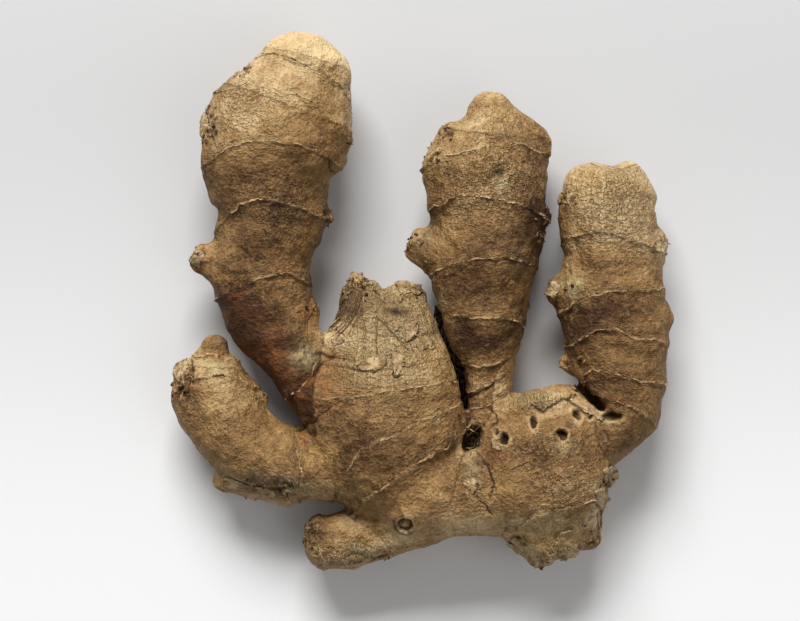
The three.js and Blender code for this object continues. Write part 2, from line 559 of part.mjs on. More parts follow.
function thinned({ positions, faces }, target) {
  const corner = (v) => new THREE.Vector3().fromArray(positions, 3 * v);
  const count = positions.length / 3;
  const quadric = Array.from({ length: count }, () => new Float64Array(10));
  const around = Array.from({ length: count }, () => new Set());
  const face = [];
  for (let f = 0; f < faces.length; f += 3) {
    const tri = faces.slice(f, f + 3);
    const [a, b, c] = tri.map(corner);
    const normal = b.clone().sub(a).cross(c.clone().sub(a));
    const area = normal.length() / 2;
    normal.normalize();
    const { x, y, z } = normal;
    const w = -normal.dot(a);
    const plane = [x * x, x * y, x * z, x * w, y * y, y * z, y * w, z * z, z * w, w * w];
    for (const v of tri) {
      for (let k = 0; k < 10; k++) quadric[v][k] += plane[k] * (area + 1e-3);
      around[v].add(face.length);
    }
    face.push(tri);
  }
  const error = (q, { x, y, z }) =>
    q[0] * x * x + 2 * q[1] * x * y + 2 * q[2] * x * z + 2 * q[3] * x + q[4] * y * y +
    2 * q[5] * y * z + 2 * q[6] * y + q[7] * z * z + 2 * q[8] * z + q[9];
  const meeting = (i, j) => {
    const q = quadric[i].map((value, k) => value + quadric[j][k]);
    const [a, b] = [corner(i), corner(j)];
    const middle = a.clone().lerp(b, 0.5);
    const places = [a, b, middle];
    const m = new THREE.Matrix3().set(q[0], q[1], q[2], q[1], q[4], q[5], q[2], q[5], q[7]);
    if (Math.abs(m.determinant()) > 1e-7) {
      const ideal = new THREE.Vector3(-q[3], -q[6], -q[8]).applyMatrix3(m.invert());
      if (ideal.distanceTo(middle) < 1.5 * a.distanceTo(b)) places.push(ideal);
    }
    const choices = places.map((to) => ({ to, cost: error(q, to) + 2e-4 * a.distanceToSquared(b) }));
    return { q, choices: choices.sort((one, other) => one.cost - other.cost) };
  };

  const version = new Int32Array(count);
  const heap = [];
  const push = (entry) => {
    let i = heap.push(entry) - 1;
    for (let up; i && heap[(up = (i - 1) >> 1)].cost > entry.cost; i = up) heap[i] = heap[up];
    heap[i] = entry;
  };
  const pop = () => {
    const top = heap[0];
    const last = heap.pop();
    let i = 0;
    for (let down; (down = 2 * i + 1) < heap.length; i = down) {
      if (down + 1 < heap.length && heap[down + 1].cost < heap[down].cost) down++;
      if (heap[down].cost >= last.cost) break;
      heap[i] = heap[down];
    }
    if (heap.length) heap[i] = last;
    return top;
  };
  const offer = (i, j) => push({ cost: meeting(i, j).choices[0].cost, i, j, stamp: version[i] + version[j] });
  const neighbours = (v) => {
    const found = new Set();
    for (const f of around[v]) for (const w of face[f]) if (w !== v) found.add(w);
    return found;
  };
  const normal = ([a, b, c]) => b.clone().sub(a).cross(c.clone().sub(a));
  const fatness = (tri) =>
    normal(tri).length() / Math.max(...tri.map((a, k) => a.distanceToSquared(tri[(k + 1) % 3])));
  /** Whether a face keeps facing its way and does not become a sliver when one of its corners moves. */
  const survives = (tri, moved, to) => {
    const before = tri.map(corner);
    const after = tri.map((v, k) => (v === moved ? to : before[k]));
    const [n0, n1] = [normal(before), normal(after)];
    const turned = n0.dot(n1) < 0.35 * n0.length() * n1.length();
    return !turned && fatness(after) > Math.min(0.2, fatness(before) * 0.8);
  };
  let left = face.length;
  const closeUp = () => {
    const { i, j, stamp } = pop();
    if (!around[i].size || !around[j].size || stamp !== version[i] + version[j]) return;
    const shared = [...around[i]].filter((f) => around[j].has(f));
    const [besideI, besideJ] = [neighbours(i), neighbours(j)];
    if (shared.length !== 2 || [...besideI].filter((v) => besideJ.has(v)).length !== 2) return;
    const kept = (v) => [...around[v]].filter((f) => !shared.includes(f)).map((f) => face[f]);
    const [keptI, keptJ] = [kept(i), kept(j)];
    const { q, choices } = meeting(i, j);
    const choice = choices.find(
      ({ to }) => keptI.every((tri) => survives(tri, i, to)) && keptJ.every((tri) => survives(tri, j, to)),
    );
    if (!choice) return;
    const { to } = choice;
    for (const f of shared) for (const v of face[f]) around[v].delete(f);
    for (const f of around[j]) {
      face[f] = face[f].map((v) => (v === j ? i : v));
      around[i].add(f);
    }
    around[j].clear();
    [positions[3 * i], positions[3 * i + 1], positions[3 * i + 2]] = [to.x, to.y, to.z];
    quadric[i] = q;
    version[i] += count;
    for (const f of shared) face[f] = null;
    left -= 2;
    for (const v of neighbours(i)) offer(i, v);
  };
  // an edge that could not be closed up gets another turn when the rest have had theirs
  for (let round = 0; round < 5 && left > target; round++) {
    for (let v = 0; v < count; v++) for (const w of neighbours(v)) if (v < w) offer(v, w);
    while (left > target && heap.length) closeUp();
  }
  return { positions, faces: face.filter(Boolean).flat() };
}

// ---------------------------------------------------------------- the solid

const wasm = await Module();
wasm.setup();

/** A manifold-3d solid of some corners and faces. */
function solidOf({ positions, faces }) {
  const used = [...new Set(faces)];
  const place = new Map(used.map((v, i) => [v, i]));
  return new wasm.Manifold(
    new wasm.Mesh({
      numProp: 3,
      vertProperties: new Float32Array(used.flatMap((v) => positions.slice(3 * v, 3 * v + 3))),
      triVerts: new Uint32Array(faces.map((v) => place.get(v))),
    }),
  );
}

/** The block under the root that presses its lowest points flat. */
function ground(top) {
  const box = new THREE.BoxGeometry(400, 400, 40).translate(0, 0, top - 20);
  const corners = box.getAttribute("position");
  const positions = [];
  const seen = new Map();
  const index = [...box.index.array].map((v) => {
    const at = [corners.getX(v), corners.getY(v), corners.getZ(v)];
    if (!seen.has(at.join())) {
      seen.set(at.join(), positions.length / 3);
      positions.push(...at);
    }
    return seen.get(at.join());
  });
  return solidOf({ positions, faces: index });
}

const room = new THREE.Box3(new THREE.Vector3(-68, -72, -4), new THREE.Vector3(68, 72, 38));
const skin = solidOf(thinned(traced(root, room, CELL), TRIANGLES));
const pieces = skin.decompose().sort((a, b) => b.volume() - a.volume());
const flatFooted = pieces[0].subtract(ground(FOOT_DEPTH));

const { vertProperties, triVerts } = flatFooted.getMesh();
const geometry = new THREE.BufferGeometry()
  .setAttribute("position", new THREE.BufferAttribute(new Float32Array(vertProperties), 3))
  .setIndex(new THREE.BufferAttribute(new Uint32Array(triVerts), 1));
geometry.computeBoundingBox();
const middle = geometry.boundingBox.getCenter(new THREE.Vector3());
geometry.translate(-middle.x, -middle.y, -geometry.boundingBox.min.z);
geometry.computeVertexNormals();

const skinTan = new THREE.MeshStandardMaterial({ color: 0xa67c4c, roughness: 0.72, metalness: 0 });
const rhizome = new THREE.Mesh(geometry, skinTan);
rhizome.name = "rhizome";

const ginger = new THREE.Group();
ginger.add(rhizome);
export default ginger;
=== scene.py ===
import math
import random

import bmesh
import bpy
import numpy as np
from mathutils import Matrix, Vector, noise
from mathutils.bvhtree import BVHTree


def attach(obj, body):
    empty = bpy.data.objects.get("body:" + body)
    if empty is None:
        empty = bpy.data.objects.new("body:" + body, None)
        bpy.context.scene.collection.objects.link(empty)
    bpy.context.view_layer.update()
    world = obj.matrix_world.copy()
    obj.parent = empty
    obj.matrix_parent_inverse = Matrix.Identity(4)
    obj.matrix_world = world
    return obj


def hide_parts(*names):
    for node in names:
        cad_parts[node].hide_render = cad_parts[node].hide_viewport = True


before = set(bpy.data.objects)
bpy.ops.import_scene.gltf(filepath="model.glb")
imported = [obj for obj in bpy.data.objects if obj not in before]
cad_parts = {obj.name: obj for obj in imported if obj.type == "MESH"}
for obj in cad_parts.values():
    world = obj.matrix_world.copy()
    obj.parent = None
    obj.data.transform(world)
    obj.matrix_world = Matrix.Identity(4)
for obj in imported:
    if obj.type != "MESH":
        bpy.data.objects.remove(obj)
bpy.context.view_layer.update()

# -------- the flesh
# A ginger rhizome is one swollen underground stem: an old centre, an older block on its right, and
# five fingers. The skin is drawn tight over lumpy flesh, so the solid is first given an even skin.

SKIN_GRID = 0.00059  # metres from one corner of the skin to the next
UNDERSIDE = -0.25  # a normal that points further down than this belongs to the underside
SHARE_KEPT = 0.73  # of all faces, once the hidden underside has larger ones


def numbers(things, name, width, kind=float):
    """What Blender keeps for each vertex or edge, as one row of numbers for each."""
    values = np.empty(len(things) * width, kind)
    things.foreach_get(name, values)
    return values.reshape(-1, width)


bpy.ops.object.select_all(action="DESELECT")
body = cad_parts["rhizome"].copy()
body.data = body.data.copy()
body.name = "rhizome_skin"
bpy.context.scene.collection.objects.link(body)
body.matrix_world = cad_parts["rhizome"].matrix_world.copy()
body.parent = None
body.select_set(True)
bpy.context.view_layer.objects.active = body
bpy.ops.object.transform_apply(location=True, rotation=True, scale=True)

welded = bmesh.new()
welded.from_mesh(body.data)
bmesh.ops.remove_doubles(welded, verts=welded.verts, dist=1e-6)
welded.to_mesh(body.data)
welded.free()

even = body.modifiers.new("even", "REMESH")
even.mode = "VOXEL"
even.voxel_size = SKIN_GRID
bpy.ops.object.modifier_apply(modifier="even")
relaxed = body.modifiers.new("relaxed", "SMOOTH")
relaxed.factor = 0.5
relaxed.iterations = 5
bpy.ops.object.modifier_apply(modifier="relaxed")
underside = body.vertex_groups.new(name="underside")
underside.add([v.index for v in body.data.vertices if v.normal.z < UNDERSIDE], 1, "REPLACE")
coarser = body.modifiers.new("coarser", "DECIMATE")
coarser.vertex_group = "underside"
coarser.ratio = SHARE_KEPT
bpy.ops.object.modifier_apply(modifier="coarser")
body.vertex_groups.clear()

points = numbers(body.data.vertices, "co", 3) * 1000  # all the modelling below is in millimetres
normals = numbers(body.data.vertices, "normal", 3)

# -------- the way each limb grew
# The fibres of the skin follow the limb that they are on, the node rings cross it, and the skin is
# paler towards the growing tip, partly its own colour and partly painted light, as the tips point
# towards the window. Every limb is noted as stations of x, y, half width and paleness.

SHIFT = np.array([-0.28, -0.14])  # from the middle that the lists were measured from to the frame's
LIMB_HEIGHT = 13  # how high the middle of a limb lies over the table

LIMBS = {
    "centre": [
        (-7.5, 2, 9, 0.5), (-8, -6, 13, 0.6), (-9, -15, 16, 0.66), (-8.5, -24, 18.5, 0.62),
        (-8, -34, 19, 0.46), (-6, -43, 17, 0.42), (-3, -52, 13, 0.44),
    ],
    "old": [
        (28.5, -24, 14, 0.62), (29.5, -33, 16, 0.34), (30.5, -42, 16.5, 0.3), (32, -51, 13.5, 0.44),
        (32, -61, 9, 0.55),
    ],
    "saddle": [(-3, -49, 8, 0.48), (7, -47.6, 10.5, 0.48), (17, -47, 11, 0.4)],
    "left": [
        (-22, -30, 8, 0.2), (-27.8, -22.5, 6.6, 0.1), (-32.6, -13, 8.2, 0.12), (-37, -5, 10.8, 0.16),
        (-40, 3, 12, 0.14), (-39.6, 13, 12.2, 0.1), (-37.4, 22.5, 13.9, 0.14), (-38, 32, 16, 0.24),
        (-36.2, 41, 18.6, 0.5), (-33, 49.5, 16.6, 0.85), (-30.5, 58, 12.2, 1.15), (-29, 66, 5, 1.2),
    ],
    "lower_left": [
        (-24, -40.6, 9, 0.62), (-33, -40.4, 9.5, 0.6), (-41, -37.4, 10, 0.52), (-47, -31.6, 10.2, 0.6),
        (-51, -25.4, 10.3, 0.75), (-53, -18, 8.2, 0.8), (-52.2, -11, 4, 0.6),
    ],
    "short": [
        (-5, -57, 6.6, 0.6), (-12, -58.6, 7, 0.6), (-20, -59.6, 7.2, 0.62), (-29, -60, 5, 0.5),
    ],
    "middle": [
        (16.4, -27, 6.4, 0.2), (15.8, -17, 6.9, 0.2), (15.2, -12, 9, 0.2), (14.8, -4.5, 11, 0.26),
        (14.8, 3, 12.3, 0.22), (15.2, 12, 13.9, 0.16), (16.8, 22, 14.2, 0.34), (16.2, 28, 15, 0.52),
        (16.4, 34, 15.3, 0.6), (17.2, 41, 13, 0.75), (17, 51, 5, 0.8),
    ],
    "right": [
        (44, -33.3, 8.8, 0.2), (49, -27, 10.2, 0.22), (50, -19.5, 11.2, 0.26), (49.2, -12, 12.4, 0.34),
        (48.2, -5, 13, 0.36), (47.2, 1, 13.4, 0.38), (47.6, 10, 12.6, 0.46), (47, 19, 12.4, 0.66),
        (46.6, 27, 11.6, 0.85), (47, 34, 8, 0.95),
    ],
}

limb_names = list(LIMBS)
closeness = np.full(len(points), 1e9)
limb_of = np.zeros(len(points), int)
along = np.zeros(len(points))
around = np.zeros(len(points))
paleness_and_painted_light = np.zeros(len(points))
for number, stations in enumerate(LIMBS.values()):
    run = 0.0
    for first, last in zip(stations, stations[1:]):
        start, end = np.array(first[:2]) + SHIFT, np.array(last[:2]) + SHIFT
        line = end - start
        length = math.hypot(*line)
        offset = points[:, :2] - start
        share = np.clip(offset @ line / length**2, 0, 1)
        across = (offset[:, 1] * line[0] - offset[:, 0] * line[1]) / length
        away = np.linalg.norm(offset - share[:, None] * line, axis=1)
        width = first[2] + (last[2] - first[2]) * share
        nearness = np.hypot(away, points[:, 2] - LIMB_HEIGHT) - width
        better = nearness < closeness
        closeness[better] = nearness[better]
        limb_of[better] = number
        along[better] = (run + share * length)[better]
        around[better] = (np.arctan2(across, points[:, 2] - LIMB_HEIGHT) * width)[better]
        paleness_and_painted_light[better] = (first[3] + (last[3] - first[3]) * share)[better]
        run += length


def wave(places, seed=0.0):
    """Soft random heights between about -1 and 1, one for each row of places."""
    return np.array([noise.noise(Vector((x + seed, y - seed, z + 2 * seed))) for x, y, z in places])


def stretched(x, y, z, seed):
    """The same soft heights for places whose x, y and z are scaled apart."""
    return wave(np.stack([x, y, z], axis=1), seed)


def blend(low, high, value):
    """0 at low, 1 at high, and a smooth step between them. low may be the higher one."""
    t = np.clip((value - low) / (high - low), 0, 1)
    return t * t * (3 - 2 * t)


def bell(value, width):
    """1 where the value is 0, which falls off to 0 within about two widths on either side."""
    return np.exp(-((value / width) ** 2))


lumps = 0.4 * wave(points / 8) + 0.34 * wave(points / 3.6, 11) + 0.16 * wave(points / 1.8, 17)
folds = np.abs(stretched(along / 3.4, around / 7, limb_of * 5.0, 27)) ** 0.7
grain = stretched(along / 6, around / 1.6, limb_of * 5.0, 3)
height = lumps + 0.09 * grain + 0.5 * (folds - 0.35)

# -------- node rings
# A scale leaf grew at every node and dried away. What is left is a thin ragged collar round the limb,
# with a crease on the side of the base and short pleats where the skin was gathered under it.

RINGS = {
    "left": [
        [(-46, 61.5), (-40, 61.2), (-33, 60.2), (-28, 58), (-23, 55.5), (-19.2, 52.5), (-15, 46)],
        [(-58, 50), (-48.5, 52.2), (-43, 53), (-36.8, 51.8), (-30.5, 50.2), (-24.2, 46.8), (-19.2, 41.8),
         (-15, 36)],
        [(-60, 31), (-54, 34), (-50, 36.2), (-44.2, 38.2), (-38, 39), (-30.5, 38), (-25, 36), (-17, 31)],
        [(-57, 13), (-52, 17.5), (-49, 20.5), (-44.8, 23.8), (-40, 25), (-35.5, 24.2), (-30.5, 23.2),
         (-26, 21.5), (-18, 18.5)],
        [(-56, -2), (-50, 1.2), (-45.5, 3.5), (-41, 5.2), (-36, 7.2), (-31.8, 6.8), (-24, 2.4)],
        [(-42, -27), (-34.8, -24.5), (-30.5, -22), (-27.2, -18), (-24.2, -13.5), (-21, -8)],
    ],
    "middle": [
        [(-2, 31), (2, 34.2), (5, 35), (8.2, 36.2), (14.5, 38), (19.5, 38.2), (24.5, 38.2), (31, 37.2),
         (36, 36.5)],
        [(-2, 21), (2.2, 22.8), (5.8, 24), (9, 25.8), (14.5, 25.5), (19.5, 24.8), (23.2, 24), (27, 22.8),
         (34, 18.5)],
        [(-3, 3), (0.8, 5.5), (3.8, 7.2), (8.2, 9.2), (13.2, 10), (19.5, 10.8), (24.5, 10.2), (32, 7.5)],
        [(1, -0.5), (4.8, -2), (8.2, -3.2), (12, -3.8), (19, -3.8), (22, -4.5), (29, -7.5)],
        [(6, -15.2), (10, -16), (13.2, -16.8), (17.5, -15.5), (21.5, -13.8), (26, -11.5)],
        [(7, -24), (11, -22.5), (14.5, -21.5), (17.5, -20.2), (20, -18.5), (25, -15.5)],
        [(8, -28), (12, -26.8), (14.8, -26), (17.3, -25.9), (19.5, -24), (21.7, -23)],
    ],
    "right": [
        [(31, 10), (34.8, 14), (37, 15.5), (39.5, 16.5), (42.5, 17.5), (45.8, 17.2), (50.8, 15),
         (55.8, 13.8), (65, 9.5)],
        [(30, -7), (33.5, -4), (37, -0.5), (39.5, 0.8), (43.2, 2), (45.8, 2.8), (52.5, 2.8), (65, 3)],
        [(32, -14.5), (36.2, -11.2), (40.2, -8.8), (42.8, -7), (45.8, -7), (52, -9), (57, -9.8),
         (65, -11.4)],
        [(33, -21), (37.8, -18.8), (42, -17.2), (45, -17.8), (49.5, -18.5), (54.5, -19.8), (65, -20.8)],
        [(38, -21.5), (42.5, -22.8), (47.5, -24), (50.8, -25.8), (53.8, -28), (62, -34)],
    ],
    "lower_left": [
        [(-66, -16.5), (-60, -18.5), (-55.5, -18.8), (-51.8, -18.2), (-46.8, -18.8), (-41, -21.5)],
        [(-60, -14.8), (-58, -13.8), (-54.2, -12.8), (-50.5, -13.5), (-47.2, -14.5), (-44, -16)],
        [(-30, -26), (-30.5, -32), (-31, -37), (-30, -42), (-31, -56)],
    ],
    "short": [
        [(-25.5, -50), (-26.4, -56), (-25.8, -62), (-24, -70)],
    ],
    "centre": [
        [(-24, -24), (-18, -23.2), (-12.5, -22.2), (-5.5, -21.5), (0.8, -20.2), (5.8, -19.6), (13, -20.6)],
        [(-23, -54), (-21, -49.8), (-20, -46), (-18.5, -41.5), (-15, -36), (-10, -33.8), (-5.5, -31.8),
         (-0.5, -29.5), (4.5, -27), (8.2, -25.5), (13, -24.6)],
        [(-19, -55), (-14.2, -49.5), (-10.5, -45.8), (-6.8, -43), (-1.8, -39.5), (2, -37.8), (5.8, -35.5),
         (9, -33), (14, -29)],
    ],
    "saddle": [
        [(-3, -53), (2.8, -47), (4.8, -44.5), (7.5, -41), (10, -38.8), (12, -37.5), (16, -34)],
    ],
    "old": [
        [(14, -62), (20.8, -57), (23.8, -55.2), (27, -52.8), (32, -51.5), (38.2, -49.8), (42.5, -48.5),
         (50, -47.2)],
        [(31, -66), (32.8, -59.5), (34.5, -57), (37.5, -55.2), (40, -54.2), (50, -52)],
        [(14.8, -26), (17.3, -25.9), (19.5, -24), (21.7, -23), (23.9, -22.8)],
    ],
}

TIP_ON_RIGHT = ("centre", "saddle", "old")  # on the other limbs it lies on the left of each ring's line


def beside(line, where):
    """Signed distance in plan from each row of where to a bent line, positive on the line's left."""
    nearest = np.full(len(where), 1e9)
    side = np.ones(len(where))
    bends = np.array(line) + SHIFT
    for start, end in zip(bends, bends[1:]):
        edge = end - start
        offset = where[:, :2] - start
        share = np.clip(offset @ edge / (edge @ edge), 0, 1)
        away = np.linalg.norm(offset - share[:, None] * edge, axis=1)
        better = away < nearest
        nearest[better] = away[better]
        side[better] = np.sign(edge[0] * offset[:, 1] - edge[1] * offset[:, 0])[better]
    return nearest * side


def strayed(places):
    """How far the collars stray from their even lines at each place."""
    return 0.75 * wave(places / 6.5, 5) + 0.45 * wave(places / 2.1, 8) + 0.2 * wave(places / 0.9, 9)


straying = strayed(points)
ring_gap = np.full(len(points), 30.0)
for limb, lines in RINGS.items():
    ours = limb_of == limb_names.index(limb)
    flip = -1 if limb in TIP_ON_RIGHT else 1
    for line in lines:
        gap = flip * beside(line, points) + straying
        nearer = ours & (np.abs(gap) < np.abs(ring_gap))
        ring_gap[nearer] = gap[nearer]

strength = 0.6 + 0.6 * wave(points / 6, 21)
tip_side = ring_gap > 0
even_ring = bell(ring_gap, np.where(tip_side, 2.4, 1.15))
collar = bell(ring_gap, np.where(tip_side, 0.8, 0.4))
crease = bell(ring_gap + 0.8, 0.45)
gathers = stretched(along / 9, around / 0.8, limb_of * 3.0, 31)
height += strength * (0.34 * collar - 0.2 * crease) - 0.25 * even_ring
height += 0.3 * gathers * np.exp(-np.abs(ring_gap) / 2.2)

# -------- pits, cracks and scars
# Rootlets have dropped out of pits, mostly on the old block. Broken shoots have left dark crusts, and
# the driest skin has cracked. An oval mark is noted as x, y, half width, half height, turn and strength.

PITS = [
    (20, -33.6, 0.9, 1.3, 0.4, 1.3), (18.4, -32.3, 0.5, 0.8, 0, 0.8), (27.4, -29.5, 0.6, 1.4, 0, 1.2),
    (34.3, -32.4, 0.85, 1.2, 0.3, 1.3), (38.3, -27.8, 0.7, 1.3, 0.1, 1), (41.4, -28.4, 0.6, 0.7, 0.4, 0.7),
    (46.6, -28.2, 1.9, 0.9, 0, 0.7), (12.4, -33.6, 1.5, 2.8, -0.5, 1.6),
]
DARK_PATCHES = [(-15.5, -2.2, 1.2, 1.6, 0.3, 0.7), (-6.2, -2.6, 3.3, 1.1, -0.15, 1)]
DENT = (18.9, 32.2, 1.7, 1.4, 0.5)
BUD_SCAR = (-4.2, -54.6)

top_side = blend(-0.1, 0.25, normals[:, 2])
# the dark marks: the crusts' own dark colour, two dark patches, and painted shade in the pits, the dent, the
# bud scar's grooves and between the crusts' ridges
dark_and_shaded = np.zeros(len(points))
pit_rim = np.zeros(len(points))
ragged = wave(points / 1.3, 41) + 0.5 * wave(points / 3, 43)


def oval(x, y, wide, tall, turn, rough):
    """How far out of an oval each place lies, in units of its radius, and how far up it."""
    offset = points[:, :2] - SHIFT - (x, y)
    across = offset @ (math.cos(turn), math.sin(turn))
    up = offset @ (-math.sin(turn), math.cos(turn))
    return np.hypot(across / wide, up / tall) + rough * ragged, up / tall


def marked(ovals, power=2, rough=0.35):
    """How strongly the nearest of a list of soft ovals marks each place. A high power has a firm edge."""
    strongest = np.zeros(len(points))
    for x, y, wide, tall, turn, amount in ovals:
        out, _ = oval(x, y, wide, tall, turn, rough)
        strongest = np.maximum(strongest, amount * np.exp(-(out**power)))
    return strongest


# each pit is painted dark inside, darkest towards its upper rim: painted shade in the hollow
for x, y, wide, tall, turn, depth in PITS:
    out, up = oval(x, y, wide, tall, turn, 0.4)
    callus = bell(out - 1.7, 0.5) * (0.15 + 0.85 * blend(0.1, -0.9, up))
    height += top_side * (0.5 * callus - 1.5 * depth * np.exp(-(out**3)))
    dark_and_shaded = np.maximum(dark_and_shaded, top_side * np.exp(-((out / 0.95) ** 4)) * (0.55 + 0.45 * blend(-0.6, 0.4, up)))
    pit_rim = np.maximum(pit_rim, top_side * callus)
dark_and_shaded = np.maximum(dark_and_shaded, top_side * marked(DARK_PATCHES, rough=0.5))
out, _ = oval(*DENT, 0.5)
height -= 1.3 * top_side * bell(out, 1)
# the middle of the dent is painted darker: painted shade
dark_and_shaded = np.maximum(dark_and_shaded, 0.55 * top_side * bell(1.8 * out, 1))

# the bud scar is a ring in a ring, whose grooves are painted dark as painted shade, darkest at its
# lower left
out, _ = oval(*BUD_SCAR, 1, 1, 0, 0.4)
lower_left = blend(0.8, -0.8, (points[:, :2] - SHIFT - BUD_SCAR) @ (0.7, 0.7) / 2)
height += top_side * (0.5 * bell(out - 2.1, 0.45) + 0.35 * bell(out, 0.8) - 0.6 * bell(out - 1.35, 0.4))
inner_groove = 0.75 * bell(out - 1.35, 0.35) * (0.4 + 0.6 * lower_left)
outer_groove = 0.8 * bell(out - 2.8, 0.35) * lower_left
dark_and_shaded = np.maximum(dark_and_shaded, top_side * np.maximum(inner_groove, outer_groove))

# every crack has its width, its depth and its line; the three 0.2 wide lines on the old centre run
# under the free edges of flakes and are painted shadow
CRACKS = [
    (0.35, 0.6, [(-48.5, 57.5), (-45.5, 58.4), (-43, 58.4)]),
    (0.3, 0.5, [(-55, 47), (-52.6, 46), (-51.6, 43), (-52.4, 40.4), (-51, 38.6)]),
    (0.25, 0.5, [(-53.6, 44.2), (-51.4, 41.8)]),
    (0.3, 0.5, [(-22.8, 34.4), (-21.8, 30.5), (-23, 27.6)]),
    (0.6, 0.9, [(-19, 2.6), (-18.2, 3.5), (-17, 4.2), (-15.3, 4), (-12.8, 3), (-11, 2)]),
    (0.25, 0.3, [(-11.2, -4.2), (-11, -7.4), (-11.3, -10.6), (-11, -12.7)]),
    (0.22, 0.35, [(-10.9, -3.8), (-8.9, -5.9), (-6.8, -8.1), (-4.3, -10.6), (-3.4, -11.8)]),
    (0.2, 0.5, [(-4.1, -10.1), (-2.2, -9.1), (-0.8, -7.8)]),
    (0.2, 0.5, [(-16.9, -16.5), (-14.6, -17), (-12.1, -17), (-10.1, -16.8), (-9, -15.6), (-8.7, -13.6)]),
    (0.2, 0.4, [(-8, -12.9), (-7.4, -15.6), (-6.8, -18.5), (-5.1, -18.1)]),
    (0.25, 0.3, [(-24.6, -7.4), (-21.4, -6.8), (-19.6, -8)]),
    (0.3, 0.4, [(-1.8, -11.2), (0.4, -12), (2.9, -11.6)]),
    (0.5, 0.9, [(27.3, -25.5), (28.6, -26.7), (30.1, -26.7), (32, -25.5), (34.2, -24.5), (35.9, -23.9)]),
    (0.55, 1, [(36, -24), (37.8, -25.6), (39.5, -27), (41.4, -27.3), (43, -28.4), (44.5, -29.5)]),
    (0.35, 0.5, [(44.2, -30.4), (45.1, -32), (46, -33.9)]),
    (0.35, 0.5, [(15.4, -26.2), (17, -26.9), (18, -28), (18.2, -29.5), (17.3, -30.7)]),
    (0.35, 0.4, [(12.6, -23.8), (15.4, -21.9), (17.2, -21), (20.4, -18.7)]),
    (0.25, 0.3, [(22, -41), (25, -39.6), (27.4, -38.6)]),
    (0.4, 0.6, [(12, -45.8), (14.6, -49.6), (17, -52)]),
    (0.35, 0.6, [(15.4, -40), (17.4, -44.4), (16.8, -47.6)]),
    (0.4, 0.7, [(22, -60.4), (26, -63), (30.8, -64.6)]),
    (0.4, 0.8, [(-45.8, -45.8), (-40, -47.4), (-35, -46.6), (-32, -46.4)]),
    (0.3, 0.6, [(-60.6, -15), (-59, -18.6), (-60, -22)]),
    (0.3, 0.6, [(-57.6, -14.6), (-56.8, -17.6), (-58, -20.4)]),
    (0.3, 0.5, [(-19.4, -63.6), (-15, -63), (-10.6, -64.2)]),
    (0.25, 0.4, [(-18, -65.2), (-13.6, -65), (-9.4, -63.4)]),
    (0.4, 0.8, [(46.6, -43.4), (45.6, -47), (46.4, -50.6), (44.6, -53)]),
    (0.3, 0.5, [(26.4, 23), (29, 20.6), (30.6, 17.4)]),
    (0.3, 0.6, [(-25, -12.5), (-23, -13.8), (-19.3, -13.8)]),
    (0.35, 0.8, [(-31.3, -22), (-29.3, -19.5), (-26, -17.5), (-24.8, -15)]),
    (0.25, 0.6, [(-30.5, -31.5), (-26, -29), (-23, -25.8), (-20.3, -24.5)]),
]
crack_gap = np.full(len(points), 9.0)
crack_stray = 0.6 * wave(points / 2.4, 51) + 0.3 * wave(points / 1.1, 53)
for width, depth, line in CRACKS:
    gap = beside(line, points)
    gap = np.where(np.abs(gap) < 4, gap + crack_stray, gap)
    height -= top_side * 0.7 * depth * bell(gap, width + 0.3)
    gap = gap * 0.4 / width
    nearer = (np.abs(gap) < np.abs(crack_gap)) & (normals[:, 2] > 0)
    crack_gap[nearer] = gap[nearer]

# every crust has its x, y and radius
CRUSTS = [
    (-57, 11.4, 3.4), (-53, 42.6, 4), (-45.5, 57.5, 2), (-3.4, 15, 3), (2.6, 36, 2.6), (5.6, 42.5, 2),
    (30.6, 21.4, 2.6), (30.4, 16, 2), (31.8, 3.2, 2.6), (35.6, -15.6, 2.4), (35.2, 25.8, 2), (60.4, 15, 2),
    (-16.4, 5, 2.6), (-4.4, 4.4, 2.6), (-59, -17.6, 3.6), (-60, -22.6, 2.2), (-40, -24, 1.2),
    (-30.6, -60, 2.6), (-28.6, -56, 1.6), (29.6, -65, 3), (24, -60, 2), (43, -59.6, 2.6), (46.4, -46.4, 3),
    (45.4, -51, 2.4), (47, -41.6, 2), (-41.6, -47.4, 3), (-34, -47.4, 2.4), (-17.6, 39.6, 1.2),
    (-23, 21, 1.8), (-28, -2.2, 1.6), (12, -35.4, 2.6), (12, -30, 1.6), (38, -21.2, 1.6), (-22, -50.6, 1.4),
    (36.6, -63.4, 1.8), (47.4, -44, 2), (-14.4, 4.2, 1.8), (-19.4, 2.6, 1.6), (-0.6, 3.4, 1.6),
    (-54, 48, 1.4), (-9, -64, 1.8),
]
crust = np.zeros(len(points))
for x, y, radius in CRUSTS:
    away = np.linalg.norm(points[:, :2] - SHIFT - (x, y), axis=1)
    middle = points[:, 2][away < away.min() + 0.6].max()
    out = np.hypot(away, (points[:, 2] - middle) / 1.5) / radius + 0.25 * ragged
    crust = np.maximum(crust, np.exp(-(out**3)))
ridges = 0.5 - np.abs(wave(points / 2.6, 71) + 0.5 * wave(points / 1.2, 73))
height += crust * 1.2 * (ridges - 0.2)
# the valleys between a crust's ridges are painted dark: painted shade over the crust's own colour
dark_and_shaded = np.maximum(dark_and_shaded, 0.8 * crust * blend(0.24, 0.0, ridges))
paleness_and_painted_light += crust * (0.7 * blend(0.3, 0.5, ridges) - 0.3)
